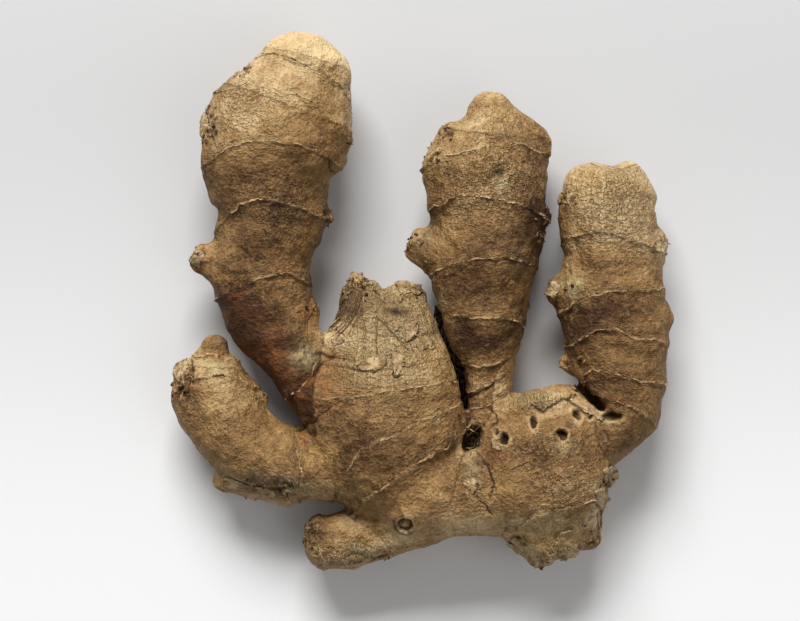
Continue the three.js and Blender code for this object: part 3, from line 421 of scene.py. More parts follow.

# -------- the skin from place to place
# Old scale leaves have stained the skin red-brown, bruises have left it cream or greenish, and it is
# golden where it is young, shrivelled, pleated or flaky where it dried, and paler or darker in patches
# that are partly worn and partly painted light and painted shade.

STAINS = [
    (-36, -14, 6, 9, 0.4, 0.5), (-46, -4, 5, 4, 0, 0.3), (-22, -13.6, 3.4, 0.8, -0.1, 1.2),
    (-27.4, -18.4, 4, 1.1, 0.75, 1.2), (-25, -27.8, 5, 0.8, 0.6, 0.9), (-35.9, -12.6, 3, 1.7, -0.5, 1),
    (-27.2, -19.6, 2.3, 1.6, 0.8, 1), (-30, -23.4, 1.5, 2, 0.4, 1), (-21.6, -15.7, 3.6, 1.2, -0.1, 1),
    (-29.6, -34, 2.2, 1.4, -0.6, 1.2), (-28.4, -3, 2.6, 2.8, 0.5, 0.9), (-45.5, 1.2, 3, 1.6, 0.5, 0.5),
    (-48.6, -4.4, 2, 3.4, 0.4, 0.55), (-21, -24.8, 1.3, 1, 0, 1), (-42, -13.4, 2.4, 4.5, 0.7, 0.7),
    (-24, -22.4, 4.4, 3, 0.7, 0.5), (10.6, -24.6, 2, 3, 0, 0.8), (8.9, -19.6, 1.4, 1.2, 0, 1),
    (-33.6, 7, 3, 1.4, -0.2, 0.7), (17.6, -25.6, 3.4, 1, 0.3, 0.9), (-57, -20, 2, 3, 0, 0.6),
    (-52.4, -12.9, 3.6, 0.9, -0.1, 1.1), (45.8, -48, 2, 5, 0.2, 0.8), (43, -57.6, 4, 2, 0.3, 0.6),
    (17.6, -37.4, 3, 2.6, 0, 0.7), (-57.4, 8.6, 2, 2.4, 0, 1), (-4.6, 13.4, 2, 2.4, 0, 0.9),
    (32.6, 1.4, 2, 3, 0, 0.8), (49, -24.4, 3.4, 1, -0.3, 0.7), (-26, -52, 2.4, 1.6, 0, 0.4),
    (16.4, -17, 5, 4, 0, 0.35), (39.6, -20, 2, 2, 0, 0.6),
]
BRUISES = [
    (-29, -13.4, 3.6, 3, 0.4, 0.9), (19, 29, 1.8, 2.4, 0, 1), (-1, 16.4, 3, 2.6, 0, 0.7),
    (37, 4, 3, 2.6, 0, 0.9), (-51, -15.8, 3.4, 1.8, -0.2, 0.9), (-50.4, -18, 2.4, 1.2, 0, 0.8),
    (-33.5, -45.4, 6, 1.6, -0.3, 0.6), (-16.5, -61.8, 5, 2, -0.2, 0.6), (43.6, -27, 3.4, 0.8, -0.8, 1),
    (34.5, -35.6, 2.2, 1.6, 0, 0.7), (-1.6, -5.8, 2.4, 1.6, 0.4, 0.5), (-14.4, -14.6, 3.6, 2, 0, 0.6),
    (-5.6, -15.4, 1.4, 3, 0.2, 0.6), (-13, 1, 2, 1.6, 0, 0.5), (12.2, -41, 2, 4, 0.3, 0.6),
    (-30, 60.4, 5, 3, -0.3, 0.5), (2, 0, 3, 2, 0, 0.6),
]
GOLDEN = [
    (-25.3, -38, 5, 2.6, 0.2, 0.9), (-5, 3, 5, 1.8, 0, 0.9), (-16.2, 5, 2, 1.4, 0, 0.9),
    (28, -23.6, 9, 2, 0, 0.7), (-55, 10, 2.4, 3, 0, 0.8), (-2.6, 16.8, 2, 2.4, 0, 0.8),
    (46.8, -42.6, 2, 1.8, 0, 1), (44.6, -48.4, 2, 2, 0, 0.8), (34.4, -35.4, 1.8, 1.4, 0, 0.6),
    (27.2, -31.6, 1.4, 1.4, 0, 0.6), (-36, 61, 6, 4, 0.5, 0.5), (42, 31, 4, 3, 0, 0.6),
    (18, 47, 4, 4, 0, 0.5), (2, -14, 3, 3, 0, 0.4), (19, -46, 6, 3, 0.6, 0.4), (-53, -27, 3, 7, -0.4, 0.3),
]
SHRIVELLED = [
    (18, 30, 11, 8, 0.3, 1), (47, 24, 9, 10, 0, 1), (-4, 1, 7, 4, 0, 1), (18, 42, 9, 6, 0, 0.5),
    (30, -36, 12, 5, 0, 0.5), (-44, 50, 7, 7, 0, 0.6), (28, -24.4, 6, 2.2, 0, 1.2), (-14, 0, 6, 7, 0, 1),
    (-8, -10, 11, 9, 0, 1), (36, -46, 9, 8, 0.4, 0.6), (-50, -26, 8, 9, 0.4, 0.15),
    (-8, -26, 13, 7, 0, 0.2), (-36, -45, 8, 3, -0.2, 0.9), (-18, -63, 8, 4, 0, 0.7),
    (12, -44, 5, 6, 0, 0.5), (-36, 24, 8, 5, 0, 0.4),
]
PLEATED = [(28, -24.4, 6, 2.4, 0, 1), (22, -24.6, 3, 2, 0.3, 0.6), (14, -19, 3, 4, 0, 0.4),
           (-13, -3, 7, 6, 0, 0.5)]
FLAKY = [(-10, -6, 9, 9, 0, 1), (-12, -14, 9, 9, 0, 1), (-3, -8, 8, 8, 0, 1), (-7, -17, 7, 7, 0, 1),
         (-14, 0, 6, 6, 0, 1)]

# a strength below 0 makes the skin darker than the rest of its limb, and one above 0 makes it paler;
# the dark patches along the sides of the limbs are painted shade, and the pale ones partly painted light
WORN_AND_PAINTED_LIGHT = [
    (-12.5, 0.5, 2.6, 1.6, 0, -0.5), (-9, -10, 8, 7, 0, 0.08), (-38, -4, 6, 5, 0, 0.12),
    (47, -22, 8, 5, 0.3, -0.16), (-8, -42, 10, 4, 0.3, 0.08), (-51, -24, 6, 8, 0.3, 0.15),
    (-26, 46, 4, 9, 0, 0.1), (14, 42, 5, 5, 0, 0.2), (-33, -16, 5, 6, -0.4, -0.5), (48, -36, 4, 4, 0, -0.2),
    (-19, 1, 2.4, 5, 0.2, -0.5), (17, 6, 9, 5, 0, -0.1), (-34, -12, 6, 7, -0.4, -0.35),
    (-37, 32, 9, 7, 0, -0.2), (-14, -43, 7, 6, 0.5, -0.2), (-6, -20, 9, 4, 0.2, 0.2),
    (14, -50, 6, 4, 0, -0.12), (-20, -60, 6, 3, 0, -0.15), (-28, -39, 6, 4, 0, -0.2),
    (-30, -17, 6, 6, 0.6, -0.4), (34, -36, 10, 5, 0, -0.12), (-9, -3, 8, 4, 0, 0.12),
    (19.5, 28.6, 1.8, 1.4, 0.3, 0.6), (20, 40.4, 3, 1.6, 0, -0.2), (17, 38, 12, 10, 0, -0.22),
    (47, 25, 10, 9, 0, -0.06), (-46, -33, 12, 9, -0.6, -0.3), (-40, -10, 10, 9, -0.5, -0.35),
    (-40, 18, 12, 9, 0, -0.12), (48, -8, 12, 10, 0, -0.15), (47, 14, 9, 5, 0, 0.15),
    (-9, -9, 9, 5, 0, 0.15), (36, -44, 7, 5, 0, 0.12), (-8, -38, 16, 6, 0, -0.3),
    (16, -43, 12, 6, 0, -0.15), (-43, 44, 9, 7, 0, 0.25), (47, -44, 3, 5, 0, 0.45),
    (46, -53, 3, 4, 0, 0.35), (31, 16, 5, 8, 0, -0.5), (-48, -8, 5, 7, -0.6, -0.4),
    (-52, 13, 4, 3.4, 0, 0.35), (2, 20, 3, 4, 0, -0.4), (-7, -26, 16, 4, 0.3, -0.25),
    (26, -36, 12, 4, 0.1, -0.15), (-31, -38, 6, 5, 0, -0.25), (40, -20, 4, 3, 0, -0.2),
    (-58, -28, 6, 7, 0, -0.2), (-24, -58, 5, 4, 0, -0.3), (46, 8, 9, 4, 0, -0.2), (60, 14, 2, 3, 0, 0.6),
    (-3, 5, 6, 2.4, 0, 0.5), (7, -24, 4, 4, 0.3, -0.3), (14.5, -4.5, 6, 3, 0, 0.45),
    (-17, -1, 3, 4, 0.3, -0.3), (15, 15, 8, 4, 0, -0.15), (37, 13, 2, 5, 0, 0.3),
    (-23.5, 47, 4, 9, 0, -0.35), (-54, 34, 3, 5, 0, -0.3), (-30, 28, 6, 3.5, 0.2, -0.3),
    (-45.5, -1.5, 7, 6, -0.5, -0.55), (-36.5, -17, 5, 6, -0.7, -0.55), (-25.5, -7.5, 8, 5, 0.3, 0.5),
    (-21.5, -26, 8, 6, 0, -0.45), (-13, -34.5, 9, 4, 0.3, -0.35), (-26, -43, 4, 3, 0, -0.35),
    (28.5, 37, 4, 10, 0, -0.45), (28, 21, 5, 6, 0, -0.6), (3.3, 28, 3, 3, 0, -0.35), (8, 3, 5, 4, 0, -0.45),
    (10, -8, 4, 6, 0.3, -0.6), (19, -4, 8, 9, 0, -0.35), (5.8, 15.5, 4, 5, 0, 0.35),
    (15, -21, 5, 3, 0, 0.35), (46, -2, 11, 5, 0, -0.4), (37.5, -8, 3.5, 8, 0, -0.45),
    (52, 15, 4, 3, 0, 0.15), (45.5, -52, 4, 6, 0, 0.35), (34, -24.6, 6, 3, 0, 0.25),
    (20, -33, 6, 3, 0, -0.2), (42, -37, 4, 4, 0, -0.25), (34, -57, 12, 4, 0, 0.3),
    (12, -54, 14, 4, 0.2, 0.35), (-6, -58, 6, 3, 0.3, 0.3), (-28, -56, 4, 4, 0, -0.3),
    (-60, -24, 5, 6, 0, -0.35), (-46, -28, 4, 3, 0.5, 0.25), (-5.5, 3, 6, 2, 0, 0.4),
    (-16, -2, 2, 4, 0.3, -0.3),
]

stain = marked(STAINS, power=3) * (0.7 * top_side + 0.3)
bruise = marked(BRUISES)
golden = marked(GOLDEN)
shrivelled = marked(SHRIVELLED)
pleated = marked(PLEATED, power=3, rough=0.3)
flaky = marked(FLAKY, power=4, rough=0) * (limb_of == limb_names.index("centre"))
# these patches go into the paleness: partly worn skin, partly painted light and painted shade
for x, y, wide, tall, turn, amount in WORN_AND_PAINTED_LIGHT:
    out, _ = oval(x, y, wide, tall, turn, 0.3)
    paleness_and_painted_light += 1.3 * amount * bell(out, 1)
height += flaky * 0.26 * stretched(points[:, 0] / 1.6, points[:, 1] / 4, points[:, 2] / 3, 95)
height += shrivelled * 0.2 * stretched(points[:, 0] / 1.3, points[:, 1] / 2.4, points[:, 2] / 3, 96)

points += normals * height[:, None]
points[:, 2] = np.maximum(points[:, 2], 0)
body.data.vertices.foreach_set("co", (points / 1000).ravel())
body.data.update()
bpy.ops.object.shade_smooth()

# hollows hold dust and shade, and ridges are rubbed pale
edges = numbers(body.data.edges, "vertices", 2, int)
spread = points.copy()
for _ in range(6):
    total = np.zeros_like(spread)
    count = np.zeros(len(spread))
    for near, far in (edges.T, edges[:, ::-1].T):
        np.add.at(total, near, spread[far])
        np.add.at(count, near, 1)
    spread = 0.5 * spread + 0.5 * total / count[:, None]
hollow = np.einsum("ij,ij->i", spread - points, normals)

LIMB_APART = 40  # keeps a pattern from running on from one limb to the next
MARKS = dict(
    along=along + LIMB_APART * limb_of, around=around, across=points[:, 0], paleness_and_painted_light=paleness_and_painted_light, dark_and_shaded=dark_and_shaded,
    ring=ring_gap, from_ring=np.abs(ring_gap), crack=crack_gap, from_crack=np.abs(crack_gap), stain=stain,
    pit_rim=pit_rim, bruise=bruise, golden=golden, flaky=flaky, shrivelled=shrivelled, pleated=pleated,
    hollow=hollow,
)
for name, values in MARKS.items():
    body.data.attributes.new(name, "FLOAT", "POINT").data.foreach_set("value", values.astype(np.float32))

# -------- the material of the skin
# Dry cork-like skin: dull tan with short dark fibres along the limb, fine dark specks, a pale rim with
# a painted highlight and a painted shadow in the crease on its base side at every node ring, and
# brown-black crusts. It has a slight sheen where it is pale.

FACTOR, FIRST_COLOUR, SECOND_COLOUR, MIXED_COLOUR = 0, 6, 7, 2  # sockets of a Mix node for colours
SPECULAR = 0.28


def add_node(tree, kind, settings, sockets):
    """A shader node of a kind, with its settings first and then a value or a link for its sockets."""
    node = tree.nodes.new("ShaderNode" + kind)
    for name, value in settings.items():
        setattr(node, name, value)
    for place, value in sockets.items():
        if isinstance(value, Field):
            value = value.socket
        if isinstance(value, bpy.types.NodeSocket):
            tree.links.new(value, node.inputs[place])
        else:
            node.inputs[place].default_value = value
    return node


class Field:
    """A number that varies over the surface, written as plain arithmetic."""

    def __init__(self, socket):
        self.socket = socket

    def maths(self, operation, first, second=0.0):
        node = add_node(self.socket.id_data, "Math", {"operation": operation}, {0: first, 1: second})
        return Field(node.outputs[0])

    def __add__(self, other):
        return self.maths("ADD", self, other)

    def __sub__(self, other):
        return self.maths("SUBTRACT", self, other)

    def __rsub__(self, other):
        return self.maths("SUBTRACT", other, self)

    def __mul__(self, other):
        return self.maths("MULTIPLY", self, other)

    __radd__ = __add__
    __rmul__ = __mul__

    def size(self):
        """The number without its sign."""
        return self.maths("ABSOLUTE", self)

    def ripple(self):
        """Even waves between -1 and 1."""
        return self.maths("SINE", self)

    def step(self, low, high):
        """0 at low and 1 at high, smoothly. low may be the higher one."""
        at_least, at_most = (0, 1) if low < high else (1, 0)
        sockets = {"Value": self, "From Min": min(low, high), "From Max": max(low, high),
                   "To Min": at_least, "To Max": at_most}
        node = add_node(self.socket.id_data, "MapRange", {"interpolation_type": "SMOOTHSTEP"}, sockets)
        return Field(node.outputs["Result"])


class Paint:
    """A material with the few kinds of node that these finishes need, on one Principled surface."""

    def __init__(self, name):
        self.material = bpy.data.materials.new(name)
        self.material.use_nodes = True
        self.tree = self.material.node_tree
        self.surface = self.tree.nodes["Principled BSDF"]
        self.surface.inputs["Specular IOR Level"].default_value = SPECULAR
        self.coordinates = self.tree.nodes.new("ShaderNodeTexCoord").outputs["Object"]

    def attribute(self, name):
        """One of the marks that the mesh carries."""
        return Field(add_node(self.tree, "Attribute", {"attribute_name": name}, {}).outputs["Fac"])

    def forward(self):
        """How far along Y a place lies, in metres."""
        return Field(add_node(self.tree, "SeparateXYZ", {}, {0: self.coordinates}).outputs["Y"])

    def vector(self, x, y, z):
        """Three numbers as a place to read a cloud at."""
        return add_node(self.tree, "CombineXYZ", {}, {0: x, 1: y, 2: z}).outputs[0]

    def cloud(self, scale, detail, rough=0.5, where=None):
        """Soft random values round 0.5, in metres of the object or at a place of their own."""
        where = where or self.coordinates
        sockets = {"Scale": scale, "Detail": detail, "Roughness": rough, "Vector": where}
        return Field(add_node(self.tree, "TexNoise", {}, sockets).outputs["Fac"])

    def mixed(self, amount, first, second):
        """The first colour, with an amount of the second laid over it."""
        first, second = ((*colour, 1) if isinstance(colour, tuple) else colour for colour in (first, second))
        sockets = {FACTOR: amount, FIRST_COLOUR: first, SECOND_COLOUR: second}
        return add_node(self.tree, "Mix", {"data_type": "RGBA"}, sockets).outputs[MIXED_COLOUR]

    def finish(self, colour, rough, relief, depth):
        """Puts the colour and the roughness on the surface, and the relief as a bump, its depth in metres."""
        bump = add_node(self.tree, "Bump", {}, {"Strength": 1, "Distance": depth, "Height": relief})
        self.tree.links.new(colour, self.surface.inputs["Base Color"])
        self.tree.links.new(rough.socket, self.surface.inputs["Roughness"])
        self.tree.links.new(bump.outputs["Normal"], self.surface.inputs["Normal"])


paint = Paint("ginger_skin")
attribute, vector, cloud, mixed = paint.attribute, paint.vector, paint.cloud, paint.mixed
along_limb, around_limb, shrivelled = attribute("along"), attribute("around"), attribute("shrivelled")
ring, from_ring, hollow = attribute("ring"), attribute("from_ring"), attribute("hollow")

# the patterns of the skin, from the broadest to the finest
blotches = cloud(120, 3)
swells = cloud(190, 2)
mottle = cloud(480, 4, 0.7)
wrinkles_and_glints = (cloud(650, 3, 0.6) - 0.5).size()
grains_and_glints = cloud(1250, 1)
specks = cloud(2300, 1)
fibres = cloud(1, 3, 0.6, vector(along_limb * 0.45, around_limb * 1.3, 0))
crinkles = (cloud(1, 2, 0.5, vector(along_limb * 1.35, around_limb * 0.5, 4)) - 0.5).size().step(0.09, 0.0)
ringlets = (cloud(1, 2, 0.5, vector(ring * 0.9, around_limb * 0.16, 8)) - 0.5).size().step(0.1, 0.0)
ringlets = ringlets * from_ring.step(4.5, 1.0)
pleats = ((attribute("across") + (cloud(260, 2) - 0.5) * 1.6) * 6.2).ripple().step(-0.4, 0.9)
pleats = pleats * attribute("pleated") * mottle.step(0.25, 0.5)
peeled = attribute("flaky") * cloud(1, 4, 0.7, vector(along_limb * 0.5, around_limb * 0.8, 9)).step(0.4, 0.6)

# the rings, which come and go round the limb, each with a pale rim that is partly painted highlight
# and a painted shadow on its base side, and the cracks
ring_gap = ring + (cloud(1000, 3) - 0.5) * 1.1
close = from_ring.step(2.2, 1.4)
rim_and_highlight = ring_gap.step(-0.16, 0.06) * ring_gap.step(0.6, 0.2) * cloud(230, 2).step(0.44, 0.62) * close
shadow_under_rim = ring_gap.step(-0.8, -0.32) * ring_gap.step(-0.04, -0.2) * cloud(210, 2).step(0.44, 0.62) * close
# the cracks are painted dark along their lines: painted shade in the cracks
crack_line = (attribute("crack") + (cloud(1300, 2) - 0.5) * 0.5).size().step(0.34, 0.12)
crack_shade = crack_line * attribute("from_crack").step(1.2, 0.8) * cloud(420, 2).step(0.38, 0.52)

# the tan of the skin, whose paleness holds painted light and painted shade as well as its own tone,
# and what lies on it from the lowest layer up
tone = attribute("paleness_and_painted_light") - 0.1 + (blotches - 0.5) * 1.2 + (fibres - 0.5) * 0.3 + (mottle - 0.5) * 0.65
# fine grains, paler where they stand up and darker between them: partly the skin's own grain, partly painted
# glints and painted shade
tone = tone + (grains_and_glints - 0.43) * (shrivelled * 1.1 + 0.5) - crinkles * shrivelled * 0.05 + shrivelled * 0.02
fair = tone.step(-0.9, 0.4)  # the darkest skin has no pale marks
darkness_and_shade = attribute("dark_and_shaded")
stained = attribute("stain") * (fibres * 0.6 + mottle * 1.2 + blotches * 0.4 - 0.45).step(0.35, 0.85)
colour = mixed(tone.step(-0.55, 0.55), (0.052, 0.019, 0.004), (0.27, 0.144, 0.045))
for amount, layer in (
    (tone.step(0.3, 1.35), (0.68, 0.5, 0.26)),
    (attribute("bruise") * mottle.step(0.3, 0.6), (0.44, 0.36, 0.18)),
    (attribute("golden") * mottle.step(0.3, 0.65) * 0.7, (0.6, 0.36, 0.12)),
    (stained * 0.85, (0.235, 0.078, 0.019)),
    (peeled * 0.4, (0.62, 0.43, 0.2)),
    # pale lines on the ridges of the wrinkles: painted glints
    (wrinkles_and_glints.step(0.04, 0.0) * (shrivelled * 0.4 + 0.14) * fair, (0.68, 0.51, 0.28)),
    (pleats * 0.5, (0.62, 0.45, 0.24)),
    (specks.step(0.63, 0.7) * 0.6, (0.04, 0.018, 0.006)),
    (specks.step(0.36, 0.27) * 0.35 * fair, (0.58, 0.43, 0.25)),
    ((hollow * 4).step(0.15, 1.0) * 0.6, (0.05, 0.022, 0.008)),
    ((hollow * -4).step(0.2, 1.2) * 0.45 * fair, (0.58, 0.42, 0.22)),
    # painted shadow on the base side of each ring, then the ring's pale rim, partly painted highlight
    (shadow_under_rim * 0.4, (0.05, 0.02, 0.007)),
    (rim_and_highlight * 0.6, (0.62, 0.44, 0.22)),
    (attribute("pit_rim") * mottle.step(0.25, 0.5) * 0.5, (0.55, 0.37, 0.17)),
    # the dark marks: the crusts' own colour, and painted shade in pits, dent, grooves and crust valleys
    (darkness_and_shade * (mottle + 0.1).step(0.22, 0.5) * 0.95, (0.016, 0.008, 0.004)),
    # painted shade along the cracks
    (crack_shade * 0.72, (0.035, 0.015, 0.006)),
):
    colour = mixed(amount, colour, layer)

relief = swells * 3.6 + fibres * 0.2 + mottle * 0.6 + grains_and_glints * (shrivelled * 1.2 + 0.9) + rim_and_highlight * 0.7
relief = relief + wrinkles_and_glints.step(0.12, 0.0) * (shrivelled * 1.2 + 0.15) + peeled * 0.8
relief = relief + crinkles * (shrivelled * 0.6 + 0.05) + ringlets * 0.3 + pleats * 1.2
relief = relief - shadow_under_rim * 0.4 - crack_shade * 0.6
sheen = (tone.step(-0.3, 1.2) * 0.6 + shrivelled * 0.4) * (1 - darkness_and_shade)
paint.finish(colour, 0.62 + mottle * 0.3 - sheen * 0.5 + darkness_and_shade * 0.2, relief, 0.0005)
body.data.materials.clear()
body.data.materials.append(paint.material)
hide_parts("rhizome")
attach(body, "root")

# -------- the papery collars
# The torn foot of each scale leaf still stands on its ring: a thin, pale, ragged edge, whole in places
# and worn right down in others, which leans towards the tip of the limb.

COLLAR_TALL = 0.55
COLLAR_STEP = 0.4

triangles = [tuple(p.vertices) for p in body.data.polygons]
skin_tree = BVHTree.FromPolygons([Vector(p) for p in points], triangles)


def on_skin(x, y, above=True):
    """The point of the skin straight above or below a place in plan, its normal and its limb."""
    start, way = (60, -1) if above else (-20, 1)
    place, normal, index, _ = skin_tree.ray_cast(Vector((x, y, start)), Vector((0, 0, way)))
    if place is None:
        return None, None, None
    return place, normal, limb_names[limb_of[triangles[index][0]]]


def in_frame(place):
    """A place of the lists above, in the frame."""
    return Vector(place) + Vector(SHIFT)


def new_piece(name, corners, faces, material, thick=0.0):
    """A mesh piece of the root, from corners in millimetres, with a wall if it is a sheet."""
    mesh = bpy.data.meshes.new(name)
    mesh.from_pydata([tuple(c / 1000) for c in corners], [], faces)
    piece = bpy.data.objects.new(name, mesh)
    bpy.context.scene.collection.objects.link(piece)
    mesh.materials.append(material)
    mesh.polygons.foreach_set("use_smooth", [True] * len(mesh.polygons))
    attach(piece, "root")
    if thick:
        wall = piece.modifiers.new("wall", "SOLIDIFY")
        wall.thickness = thick
        wall.offset = 0
    return piece


def add_collar(limb, line, seed, above, corners, faces):
    """Adds the torn edge that stands on one ring, on the top or the underside of its limb."""
    flip = -1 if limb in TIP_ON_RIGHT else 1
    joined = False
    for start, end in zip(line, line[1:]):
        start, end = in_frame(start), in_frame(end)
        edge = (end - start).normalized()
        left = Vector((-edge.y, edge.x))
        steps = max(1, round((end - start).length / COLLAR_STEP))
        for step in range(steps):
            place = start.lerp(end, step / steps)
            foot, normal, owner = on_skin(*place, above)
            if owner == limb:
                stray = float(strayed(np.array([foot]))[0])
                foot, normal, owner = on_skin(*(place - left * flip * stray), above)
            tall = 0.0
            if owner == limb and abs(normal.z) > 0.12:
                worn = noise.noise(Vector((place.x / 5, place.y / 5, seed)))
                tear = noise.noise(Vector((place.x / 0.9, place.y / 0.9, 3.3))) + random.uniform(-0.3, 0.3)
                tall = COLLAR_TALL * min(1, max(0, worn + 0.16) * 2) * (0.5 + 0.9 * max(-0.5, tear))
            if tall < 0.1:
                joined = False
                continue
            lean = Vector((*(left * flip), 0))
            lean = (lean - normal * lean.dot(normal)).normalized()
            corners += [foot - normal * 0.15 + lean * 0.3, foot + normal * tall * 0.5 + lean * 0.06,
                        foot + normal * tall + lean * (tall * 0.7 + random.uniform(-0.08, 0.12))]
            if joined:
                n = len(corners)
                faces += [(n - 6, n - 3, n - 2, n - 5), (n - 5, n - 2, n - 1, n - 4)]
            joined = True


paint = Paint("papery_skin")
patches, fine = paint.cloud(300, 3), paint.cloud(1900, 2)
colour = paint.mixed(patches.step(0.35, 0.65), (0.2, 0.1, 0.036), (0.56, 0.4, 0.2))
colour = paint.mixed(fine.step(0.55, 0.68) * 0.6, colour, (0.08, 0.035, 0.012))
paint.finish(colour, 0.5 + fine * 0.2, fine, 0.0002)

random.seed(4)
corners, faces = [], []
for limb, lines in RINGS.items():
    for number, line in enumerate(lines):
        for above in (True, False):
            add_collar(limb, line, number + 7.7, above, corners, faces)
new_piece("collars", corners, faces, paint.material, thick=0.00016)

# -------- peeling skin
# The outer skin of the old centre, and of the broken edges, has dried and come away in flat flakes,
# each still held by one edge. A flake is noted as its lift, the way its free edge points and its outline.

FLAKE_STEP = 0.35
JAGGED = 0.3
FLAKE_RINGS = (0.05, 0.4, 0.7, 0.88, 1.0)  # shares of the way from its middle to its edge

FLAKES = [
    (0.5, (0.4, -0.9), [(-4.2, -5.9), (-1, -4.6), (-1.3, -7.7), (-2.3, -8.7), (-3.9, -9.7)]),
    (0.3, (0.3, -1), [(-7.6, -4.6), (-6.2, -4.3), (-5.7, -6.4), (-6.9, -7)]),
    (0.22, (0.2, -1), [(-16.6, -15.4), (-13, -13.8), (-9.3, -13.2), (-9, -15.4), (-10.3, -16.4),
                       (-12.2, -16.8), (-14.6, -16.8)]),
    (0.4, (-0.1, -1), [(-7.5, -12.6), (-4.3, -13.2), (-4.8, -16), (-5.4, -17.7), (-6.7, -18.1),
                       (-7.2, -15.6)]),
    (0.6, (-0.5, -0.8), [(39.6, -25.8), (42.3, -26.4), (44.8, -28.8), (43.9, -29.4), (41.6, -28),
                         (39.6, -27.1)]),
    (0.5, (0.7, 0.7), [(17.2, -34), (18, -33.8), (18.7, -35.4), (19.6, -36.4), (18.5, -36.8),
                       (17.4, -35.7)]),
    (0.35, (0.9, -0.4), [(9.6, -43.9), (12.5, -43.2), (13.6, -45.4), (12.4, -47), (10.7, -45.2)]),
    (0.3, (0.3, 0.9), [(-22.4, -9.6), (-19.8, -8.6), (-19, -9.8), (-21.8, -10.8)]),
    (0.9, (1, 0.3), [(44.4, -41.2), (47.2, -40.4), (48.4, -43.6), (46, -45.6), (45, -43.8)]),
    (0.8, (1, -0.2), [(42.2, -46.2), (45.2, -45.6), (46.6, -49.4), (44, -51.6), (42.8, -49)]),
    (0.8, (1, -0.3), [(43.4, -52.6), (46, -51.6), (46.4, -55.4), (44.2, -57.2)]),
    (0.9, (0.1, -1), [(27.2, -61.8), (30.6, -61.2), (32.8, -64.2), (29.8, -66.4), (27, -64.6)]),
    (0.8, (0.4, -1), [(33.4, -61.4), (38, -60.2), (38.8, -62.6), (34.4, -64.2)]),
    (0.7, (-0.7, -0.7), [(22.6, -58), (25.8, -60.6), (24.6, -62.8), (21.6, -60.4)]),
    (0.8, (0.2, 1), [(-6.8, 4.8), (-3.6, 5), (-1, 4), (-0.6, 1.6), (-3, 2.2), (-5.4, 1.8)]),
    (0.8, (-1, 0.2), [(-55.6, 46.4), (-53.4, 47.4), (-52.4, 43.4), (-54.2, 40.4), (-55.4, 42)]),
    (0.8, (-1, 0.1), [(-61.2, -14.8), (-59, -13.4), (-57.6, -17.6), (-59.6, -21.2), (-61.4, -18)]),
    (0.8, (-0.2, -1), [(-49, -43.6), (-43, -45.4), (-37, -46.6), (-35.6, -48.4), (-42.6, -48.8),
                       (-49.6, -46)]),
    (0.6, (-1, 0.4), [(-57.6, 10), (-55.6, 13.4), (-53.8, 12), (-55.6, 8.6)]),
    (0.7, (-1, 0.1), [(30.8, 2.2), (32.8, 5.4), (34.4, 3.6), (33, 0.6)]),
]

paint = Paint("peeling_skin")
patches, fine = paint.cloud(420, 3), paint.cloud(1900, 2)
colour = paint.mixed(patches.step(0.35, 0.65), (0.26, 0.16, 0.07), (0.5, 0.36, 0.19))
colour = paint.mixed(fine.step(0.55, 0.68) * 0.5, colour, (0.12, 0.06, 0.025))
paint.finish(colour, 0.5 + fine * 0.2, patches * 2 + fine, 0.0003)


def scattered(reach, size=3):
    """A random step of up to reach along each axis."""
    return Vector([random.uniform(-reach, reach) for _ in range(size)])


corners, faces = [], []
for lift, free, outline in FLAKES:
    outline = [in_frame(p) for p in outline]
    middle = sum(outline, Vector((0, 0))) / len(outline)
    reach = max((p - middle).length for p in outline)
    edge = []
    for start, end in zip(outline, outline[1:] + outline[:1]):
        parts = max(2, round((end - start).length / FLAKE_STEP))
        edge += [start.lerp(end, k / parts) + scattered(JAGGED, 2) for k in range(parts)]
    first, count = len(corners), len(edge)
    for share in FLAKE_RINGS:
        for place in (middle.lerp(p, share) for p in edge):
            foot, normal, _ = on_skin(*place)
            if foot is None:
                foot, normal, _, _ = skin_tree.find_nearest(Vector((*place, 12)))
            towards = (place - middle).dot(Vector(free)) / reach
            curl = 1 + 0.5 * noise.noise(Vector((place.x, place.y, 5)))
            corners.append(foot + normal * (0.12 + 1.25 * lift * curl * max(0, 0.4 + 0.6 * towards) ** 1.6))
    faces.append(tuple(first + k for k in range(count)))
    for inner in range(first, first + (len(FLAKE_RINGS) - 1) * count, count):
        outer = inner + count
        for k in range(count):
            after = (k + 1) % count
            faces.append((inner + k, outer + k, outer + after, inner + after))
new_piece("flakes", corners, faces, paint.material, thick=0.00014)

# -------- dried strands and rootlets
# Strands of old leaf run down the left stub, which ends in frayed bits, and a few fibres lie on the old
# centre. Dead rootlets fill the big hole, and black strands along the bottom of the cleft are painted
# shade, which keeps the narrow cleft dark.

SIDES = 5  # of every strand, round its path
STRANDS = 80
STRIDE = 0.5
STUB_FOOT = 7  # a strand ends where the stub goes down past this height
LONGEST_STEP = 1.6  # or where the next step would be longer than this
STUB_TOP = (-16.6, 5)
FRAYED_BITS = 18
HOLE = (12.3, -34.2)
HOLE_ROOTLETS = 44
CLEFT_SHADE_STRANDS = 9  # for each millimetre of the cleft
CLEFT_WIDE, CLEFT_LOW, CLEFT_HIGH = 0.9, 2.5, 5.4
THREADS = 3  # in every fibre
FIBRES = [[(-10.9, -3.8), (-11.2, -7.4), (-11.4, -10.8)],
          [(-10.9, -3.8), (-8.9, -5.9), (-6.8, -8.3), (-4.3, -11.2)],
          [(-15, -4), (-14.2, -7), (-14.8, -9.6)]]
CLEFT = [(4.1, -0.6), (4.9, -4), (6.8, -12), (9.2, -16.5), (10.4, -20.8), (10.8, -24.5), (11.8, -31)]

corners, faces, shades = [], [], []


